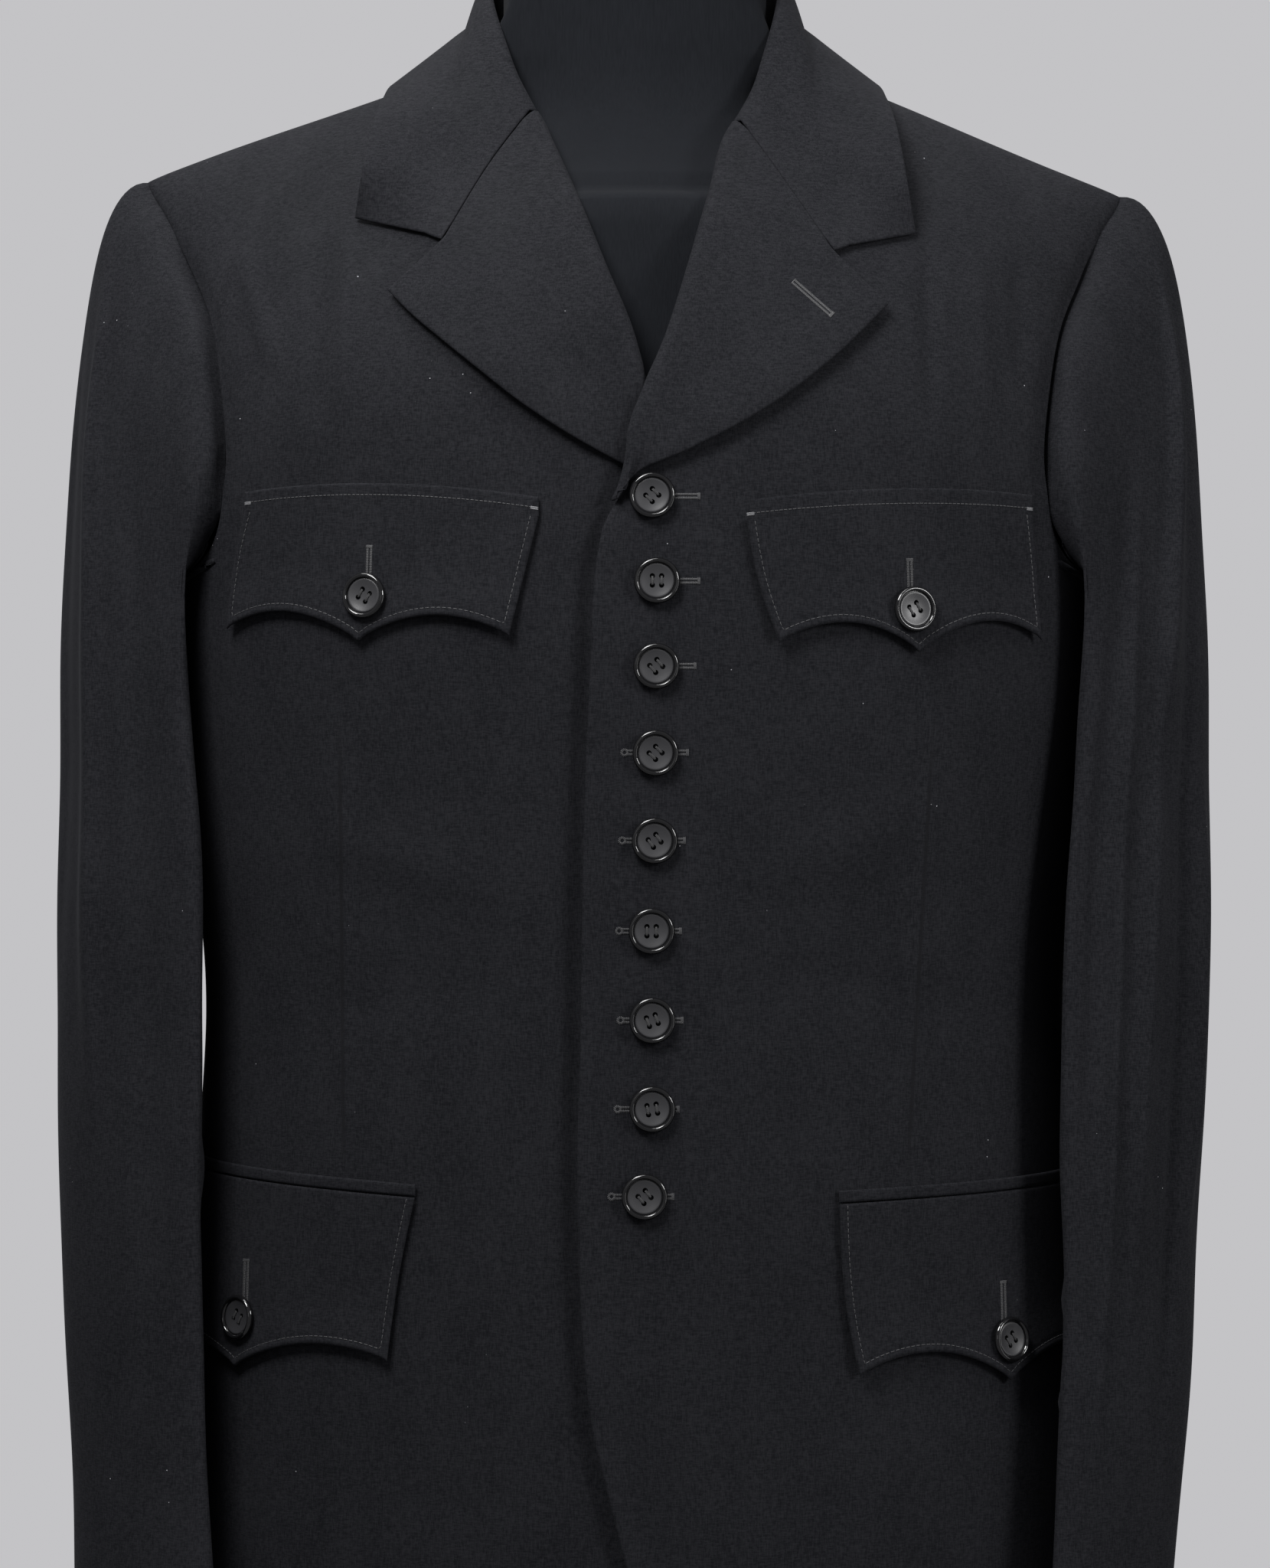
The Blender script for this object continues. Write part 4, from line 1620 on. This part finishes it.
def draw_form(context):
    """The form's jersey, its neck cap, pole and base, drawn smoothly."""
    count = 132
    seam = FORM_SEAM + np.array(FORM_SEAM_ROWS)
    heights = np.concatenate((np.linspace(FORM_ROWS[2], 0.865, 44), np.linspace(0.890, 0.9446, 34)))
    heights = np.sort(np.concatenate((FORM_ROWS[:2], heights, seam)))
    rings = []
    for z in heights:
        ring = np.array(form_ring(float(z), count))
        sunk = FORM_SEAM_DIP[0] * np.exp(-((z - FORM_SEAM) / FORM_SEAM_DIP[1]) ** 2)
        ring[:, :2] *= 1 - sunk / np.maximum(np.linalg.norm(ring[:, :2], axis=1), 0.02)[:, None]
        rings.append(ring.tolist())
    neck = np.array(FORM_NECK)
    for z in np.linspace(0.9462, neck[-1, 0], 22):
        half, depth, middle = rows_at(neck, z)
        rings.append(level_ring(float(z), float(half), float(depth), float(middle), count))
    rings = smooth_neck(np.array(rings))
    show_rings("form_torso_jersey", rings, "jersey", "form_torso")
    top, half, depth, middle = FORM_NECK[-1]
    cap = [(SEAM, 1.0), (NECK_CAP * 0.55, 1.0)]
    cap += [(NECK_CAP * (0.55 + 0.45 * sin(turn)), 0.85 + 0.15 * cos(turn))
            for turn in np.linspace(0.0, pi / 2, 9)[1:]]
    rings = [level_ring(top + up, half * size, depth * size, middle, 96) for up, size in cap]
    show_rings("form_neck_cap_look", rings, "stand", "form_neck_cap")
    rings = [level_ring(z, POLE_RADIUS, POLE_RADIUS, 0.0, 48)
             for z in (BASE_HEIGHT + SEAM, FORM_BOTTOM - SEAM)]
    show_rings("form_pole_look", rings, "stand", "form_pole")
    base = [(0.0, 0.992), (0.0006, 0.998), (0.0016, 1.0), (BASE_HEIGHT * 0.7, 1.0)]
    base += [(BASE_HEIGHT * (0.7 + 0.3 * sin(turn)), 0.975 + 0.025 * cos(turn))
             for turn in np.linspace(0.0, pi / 2, 7)[1:]]
    rings = [level_ring(z, BASE_RADIUS * size, BASE_RADIUS * size, 0.0, 128) for z, size in base]
    show_rings("form_base_look", rings, "stand", "form_base")


def ring_mesh(name, rings):
    """A closed body through rings, smooth but for its sharp rims."""
    mesh = bpy.data.meshes.new(name)
    work = bmesh.new()
    made = [[work.verts.new(point) for point in ring] for ring in rings]
    count = len(rings[0])
    for low, high in zip(made, made[1:]):
        for step in range(count):
            after = (step + 1) % count
            work.faces.new((low[step], low[after], high[after], high[step]))
    work.faces.new(made[0][::-1])
    work.faces.new(made[-1])
    work.to_mesh(mesh)
    work.free()
    mesh.shade_smooth()
    mesh.set_sharp_from_angle(angle=radians(35))
    return mesh


def show_rings(name, rings, finish, solid):
    """Show a closed body through rings in place of its solid."""
    return show(name, ring_mesh(name, rings), finish, [solid])


def new_look(name):
    """A material, its node tree, its shader and the place on the piece."""
    material = bpy.data.materials.new(name)
    material.use_nodes = True
    tree = material.node_tree
    place = tree.nodes.new("ShaderNodeTexCoord").outputs["Object"]
    return material, tree, tree.nodes["Principled BSDF"], place


def feed(tree, socket, value):
    """Link a socket to another node's output, or set it to a number or a colour."""
    if isinstance(value, bpy.types.NodeSocket):
        tree.links.new(value, socket)
    elif isinstance(value, tuple) and len(value) == 3 and socket.type == "RGBA":
        socket.default_value = (*value, 1.0)
    else:
        socket.default_value = value


def node(tree, kind, **values):
    """A node with some of its settings or inputs given."""
    made = tree.nodes.new(kind)
    for name, value in values.items():
        if hasattr(made, name):
            setattr(made, name, value)
        else:
            feed(tree, made.inputs[name.replace("_", " ")], value)
    return made


def grain(tree, source, stretch, scale, detail=3.0, roughness=0.6):
    """A noise that is stretched along one thread of the cloth."""
    shape = node(tree, "ShaderNodeMapping", Vector=source, Scale=stretch)
    noise = node(tree, "ShaderNodeTexNoise", Vector=shape.outputs["Vector"], Scale=scale,
                 Detail=detail, Roughness=roughness)
    return noise.outputs["Fac"]


def mixed(tree, operation, first, second):
    """Two values through a math node."""
    made = node(tree, "ShaderNodeMath", operation=operation)
    for socket, value in zip(made.inputs, (first, second)):
        feed(tree, socket, value)
    return made.outputs[0]


def spread(tree, value, low, high, **values):
    """A value drawn out so that low gives zero and high gives one."""
    made = node(tree, "ShaderNodeMapRange", Value=value, From_Min=low, From_Max=high, **values)
    return made.outputs["Result"]


def blend(tree, amount, first, second):
    """One colour at the amount zero, and another at one."""
    made = node(tree, "ShaderNodeMix", data_type="RGBA")
    for place, value in zip((0, 6, 7), (amount, first, second)):
        feed(tree, made.inputs[place], value)
    return made.outputs[2]


def finish_shader(tree, shader, bump=None, **values):
    """Give the shader its inputs, and where asked a bump of a height, strength and depth."""
    for name, value in values.items():
        feed(tree, shader.inputs[name.replace("_", " ")], value)
    if bump:
        height, strength, depth = bump
        made = node(tree, "ShaderNodeBump", Strength=strength, Distance=depth, Height=height)
        tree.links.new(made.outputs["Normal"], shader.inputs["Normal"])


def wool_look(darts=()):
    """Black wool: fine threads both ways, slow mottling, a little lint and a dull sheen."""
    name = "wool_with_darts" if darts else "wool"
    if name in bpy.data.materials:
        return bpy.data.materials[name]
    material, tree, shader, place = new_look(name)
    warp = grain(tree, place, (1.0, 1.0, 0.16), 1900.0, 2.0)
    weft = grain(tree, place, (0.22, 0.22, 1.0), 1700.0, 2.0)
    slow = grain(tree, place, (1.0, 1.0, 0.6), 42.0, 4.0, 0.55)
    height = mixed(tree, "MULTIPLY", mixed(tree, "ADD", warp, weft), 0.5)
    tone = mixed(tree, "ADD", mixed(tree, "MULTIPLY", height, 0.86),
                 mixed(tree, "MULTIPLY", slow, 0.14))
    colour = blend(tree, spread(tree, tone, 0.40, 0.60), WOOL_DARK, WOOL_LIGHT)
    spots = node(tree, "ShaderNodeTexVoronoi", Vector=place, Scale=190.0)
    lint = spread(tree, spots.outputs["Distance"], 0.055, 0.035)
    rare = spread(tree, grain(tree, place, (1.0, 1.0, 1.0), 37.0, 1.0, 0.5), 0.66, 0.70)
    colour = blend(tree, mixed(tree, "MULTIPLY", lint, rare), colour, LINT)
    for dart in darts:
        line = dart_line(tree, place, dart)
        colour = blend(tree, mixed(tree, "MULTIPLY", line, 0.8), colour, DART_DARK)
        height = mixed(tree, "SUBTRACT", height, mixed(tree, "MULTIPLY", line, 1.6))
    finish_shader(tree, shader, (height, 0.22, 0.0003), Base_Color=colour, Roughness=0.88,
                  Specular_IOR_Level=0.03, Sheen_Weight=0.004, Sheen_Roughness=0.45,
                  Sheen_Tint=(0.85, 0.88, 1.0))
    return material


def thread_look(name="thread", tones=THREAD_TONE):
    """Sewing thread with twist."""
    if name in bpy.data.materials:
        return bpy.data.materials[name]
    material, tree, shader, place = new_look(name)
    twist = grain(tree, place, (1.0, 1.0, 1.0), 2600.0, 2.0)
    dark, light = (tuple(tone * share for tone in tones) for share in (0.5, 1.5))
    finish_shader(tree, shader, (twist, 0.3, 0.0001), Base_Color=blend(tree, twist, dark, light),
                  Roughness=0.6, Specular_IOR_Level=0.3, Sheen_Weight=0.05)
    return material


def dart_line(tree, place, dart):
    """One along a dart's sewn line, and zero a little beside it."""
    start, slope, low, high = dart
    parts = node(tree, "ShaderNodeSeparateXYZ", Vector=place).outputs
    middle = mixed(tree, "ADD", mixed(tree, "MULTIPLY", parts["Z"], slope), start)
    away = mixed(tree, "ABSOLUTE", mixed(tree, "SUBTRACT", parts["X"], middle), 0.0)
    near = spread(tree, away, 0.0013, 0.0003, interpolation_type="SMOOTHSTEP")
    foot = spread(tree, parts["Z"], low, low + 0.02)
    head = spread(tree, parts["Z"], high, high - 0.03)
    front = mixed(tree, "LESS_THAN", parts["Y"], 0.0)
    return mixed(tree, "MULTIPLY", mixed(tree, "MULTIPLY", near, foot),
                 mixed(tree, "MULTIPLY", head, front))


def jersey_look():
    """Black knitted jersey: fine upright ribs, softer than the wool."""
    material, tree, shader, place = new_look("jersey")
    ribs = grain(tree, place, (1.0, 1.0, 0.08), 1500.0, 2.0)
    slow = grain(tree, place, (1.0, 1.0, 1.0), 60.0, 3.0)
    tone = mixed(tree, "ADD", mixed(tree, "MULTIPLY", ribs, 0.7),
                 mixed(tree, "MULTIPLY", slow, 0.3))
    colour = blend(tree, tone, (0.0016, 0.0018, 0.0023), (0.0042, 0.0046, 0.0056))
    finish_shader(tree, shader, (ribs, 0.3, 0.0004), Base_Color=colour, Roughness=0.92,
                  Specular_IOR_Level=0.03, Sheen_Weight=0.004, Sheen_Roughness=0.5)
    return material


def button_look():
    """Polished black horn: dark, smooth, with faint streaks and a duller dish."""
    if "horn" in bpy.data.materials:
        return bpy.data.materials["horn"]
    material, tree, shader, place = new_look("horn")
    streaks = grain(tree, place, (1.0, 0.25, 1.0), 320.0, 3.0)
    parts = node(tree, "ShaderNodeSeparateXYZ", Vector=place).outputs
    reach = mixed(tree, "SQRT", mixed(tree, "ADD", mixed(tree, "POWER", parts["X"], 2.0),
                                      mixed(tree, "POWER", parts["Y"], 2.0)), 0.0)
    dish = spread(tree, reach, BUTTON_RADIUS * DISH_SHARE, BUTTON_RADIUS * (DISH_SHARE + 0.03),
                  To_Min=1.0, To_Max=0.0)
    amount = mixed(tree, "MULTIPLY", dish,
                   mixed(tree, "ADD", mixed(tree, "MULTIPLY", streaks, 0.4), 0.8))
    settings = bpy.context.scene.blazer_buttons
    dull = node(tree, "ShaderNodeMix", data_type="FLOAT")
    for socket, value in zip((0, 2, 3), (dish, settings.gloss, settings.dish)):
        feed(tree, dull.inputs[socket], value)
    finish_shader(tree, shader, Base_Color=blend(tree, amount, HORN_DARK, HORN_LIGHT),
                  Roughness=dull.outputs[0], IOR=1.32)
    return material


def stand_look():
    """Satin black paint on metal."""
    if "paint" in bpy.data.materials:
        return bpy.data.materials["paint"]
    material, tree, shader, place = new_look("paint")
    mottle = grain(tree, place, (1.0, 1.0, 1.0), 260.0, 3.0)
    colour = blend(tree, mottle, (0.014, 0.014, 0.015), (0.022, 0.022, 0.023))
    finish_shader(tree, shader, (mottle, 0.1, 0.0002), Base_Color=colour, Metallic=0.3,
                  Roughness=0.38)
    return material


LOOKS = {"cloth": wool_look, "button": button_look, "jersey": jersey_look, "stand": stand_look}


def aim(item, target):
    """Turn an object's -Z towards a point."""
    way = Vector(target) - item.location
    item.rotation_euler = way.to_track_quat("-Z", "Y").to_euler()


def area_light(name, place, target, size, power):
    """A large soft light."""
    lamp = bpy.data.lights.new(name, "AREA")
    lamp.shape = "RECTANGLE"
    lamp.size, lamp.size_y = size
    lamp.energy = power
    item = bpy.data.objects.new(name, lamp)
    bpy.context.scene.collection.objects.link(item)
    item.location = place
    aim(item, target)
    return item


def draw_stage(stage_set):
    """The camera, the plain studio, its soft lights and a pale floor."""
    scene = bpy.context.scene
    camera = bpy.data.cameras.new("camera")
    camera.sensor_fit = "VERTICAL"
    camera.sensor_height = 24.0
    camera.lens = stage_set.lens
    camera.dof.use_dof = False
    item = bpy.data.objects.new("camera", camera)
    scene.collection.objects.link(item)
    item.location = (0.0, -stage_set.distance, stage_set.height)
    item.rotation_euler = (pi / 2, 0.0, 0.0)
    scene.camera = item
    scene.view_settings.view_transform = "Standard"
    world = bpy.data.worlds.new("studio")
    world.use_nodes = True
    world.node_tree.nodes["Background"].inputs["Color"].default_value = (*stage_set.backdrop, 1.0)
    scene.world = world
    middle = (0.0, 0.0, 0.66)
    area_light("key", (-0.55, -0.95, 1.85), middle, (0.6, 0.6), stage_set.key)
    area_light("fill", (1.35, -1.00, 1.15), middle, (0.45, 0.45), stage_set.fill)
    area_light("side", (1.50, -0.60, 0.45), middle, (0.4, 0.9), stage_set.side)
    area_light("top", (-0.45, 0.1, 2.6), middle, (1.6, 1.2), stage_set.top)
    area_light("front", (-0.75, -2.9, 1.15), middle, (1.0, 0.8), stage_set.front)
    floor = bpy.data.meshes.new("floor")
    work = bmesh.new()
    bmesh.ops.create_circle(work, cap_ends=True, segments=96, radius=0.9)
    work.to_mesh(floor)
    work.free()
    material, tree, shader = new_look("floor")[:3]
    finish_shader(tree, shader, Base_Color=(0.14, 0.14, 0.143), Roughness=0.8)
    floor.materials.append(material)
    ground = bpy.data.objects.new("floor", floor)
    scene.collection.objects.link(ground)
    ground.location.z = -0.0005


class BLAZER_OT_form(bpy.types.Operator):
    """Draw the dress form, its neck cap, pole and base"""

    bl_idname = "blazer.form"
    bl_label = "Dress form"

    def execute(self, context):
        draw_form(context)
        return {"FINISHED"}


class BLAZER_OT_fronts(bpy.types.Operator):
    """Draw the two fronts"""

    bl_idname = "blazer.fronts"
    bl_label = "Fronts"

    def execute(self, context):
        draw_fronts(context.scene.blazer_cloth)
        return {"FINISHED"}


class BLAZER_OT_backs(bpy.types.Operator):
    """Draw the two backs"""

    bl_idname = "blazer.backs"
    bl_label = "Backs"

    def execute(self, context):
        draw_backs(context.scene.blazer_cloth)
        return {"FINISHED"}


class BLAZER_OT_sleeves(bpy.types.Operator):
    """Draw the two-piece sleeves"""

    bl_idname = "blazer.sleeves"
    bl_label = "Sleeves"

    def execute(self, context):
        draw_sleeves(context.scene.blazer_cloth)
        return {"FINISHED"}


class BLAZER_OT_lapels(bpy.types.Operator):
    """Draw the turned-back lapels"""

    bl_idname = "blazer.lapels"
    bl_label = "Lapels"

    def execute(self, context):
        draw_lapels(context.scene.blazer_cloth)
        return {"FINISHED"}


class BLAZER_OT_collar(bpy.types.Operator):
    """Draw the collar"""

    bl_idname = "blazer.collar"
    bl_label = "Collar"

    def execute(self, context):
        draw_collar(context.scene.blazer_cloth)
        return {"FINISHED"}


class BLAZER_OT_flaps(bpy.types.Operator):
    """Draw the pocket flaps, their bands and welts and their topstitching"""

    bl_idname = "blazer.flaps"
    bl_label = "Pocket flaps"

    def execute(self, context):
        draw_flaps(context.scene.blazer_cloth)
        return {"FINISHED"}


class BLAZER_OT_buttonholes(bpy.types.Operator):
    """Draw the worked buttonholes on the front, the flaps and the lapel"""

    bl_idname = "blazer.buttonholes"
    bl_label = "Buttonholes"

    def execute(self, context):
        draw_holes(context.scene.blazer_cloth)
        return {"FINISHED"}


class BLAZER_OT_buttons(bpy.types.Operator):
    """Draw the thirteen buttons and their threads"""

    bl_idname = "blazer.buttons"
    bl_label = "Buttons"

    def execute(self, context):
        draw_buttons(context.scene.blazer_buttons)
        return {"FINISHED"}


class BLAZER_OT_stage(bpy.types.Operator):
    """Set up the camera, the plain studio, its lights and the floor"""

    bl_idname = "blazer.stage"
    bl_label = "Stage"

    def execute(self, context):
        draw_stage(context.scene.blazer_stage)
        return {"FINISHED"}


OPERATORS = (
    BLAZER_OT_form, BLAZER_OT_fronts, BLAZER_OT_backs, BLAZER_OT_sleeves, BLAZER_OT_lapels,
    BLAZER_OT_collar, BLAZER_OT_flaps, BLAZER_OT_buttonholes, BLAZER_OT_buttons,
    BLAZER_OT_stage,
)


class BLAZER_PT_panel(bpy.types.Panel):
    """The blazer's steps and settings in the 3D view's sidebar"""

    bl_idname = "BLAZER_PT_panel"
    bl_label = "Nine-button blazer"
    bl_space_type = "VIEW_3D"
    bl_region_type = "UI"
    bl_category = "Blazer"

    def draw(self, context):
        layout = self.layout
        for operator in OPERATORS:
            layout.operator(operator.bl_idname)
        for group in (context.scene.blazer_cloth, context.scene.blazer_buttons,
                      context.scene.blazer_stage):
            box = layout.box()
            for name in group.__annotations__:
                box.prop(group, name)


GROUPS = (
    ("blazer_cloth", BlazerClothSettings),
    ("blazer_buttons", BlazerButtonSettings),
    ("blazer_stage", BlazerStageSettings),
)


def register():
    """Register the settings, operators and panel."""
    for name, group in GROUPS:
        bpy.utils.register_class(group)
        setattr(bpy.types.Scene, name, bpy.props.PointerProperty(type=group))
    for operator in OPERATORS:
        bpy.utils.register_class(operator)
    bpy.utils.register_class(BLAZER_PT_panel)


def unregister():
    """Remove the panel, operators and settings."""
    bpy.utils.unregister_class(BLAZER_PT_panel)
    for operator in reversed(OPERATORS):
        bpy.utils.unregister_class(operator)
    for name, group in reversed(GROUPS):
        delattr(bpy.types.Scene, name)
        bpy.utils.unregister_class(group)


def main():
    """Draw everything in order."""
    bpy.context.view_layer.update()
    register()
    bpy.ops.blazer.form()
    bpy.ops.blazer.fronts()
    bpy.ops.blazer.backs()
    bpy.ops.blazer.sleeves()
    bpy.ops.blazer.lapels()
    bpy.ops.blazer.collar()
    bpy.ops.blazer.flaps()
    bpy.ops.blazer.buttonholes()
    bpy.ops.blazer.buttons()
    bpy.ops.blazer.stage()


if __name__ == "__main__":
    main()
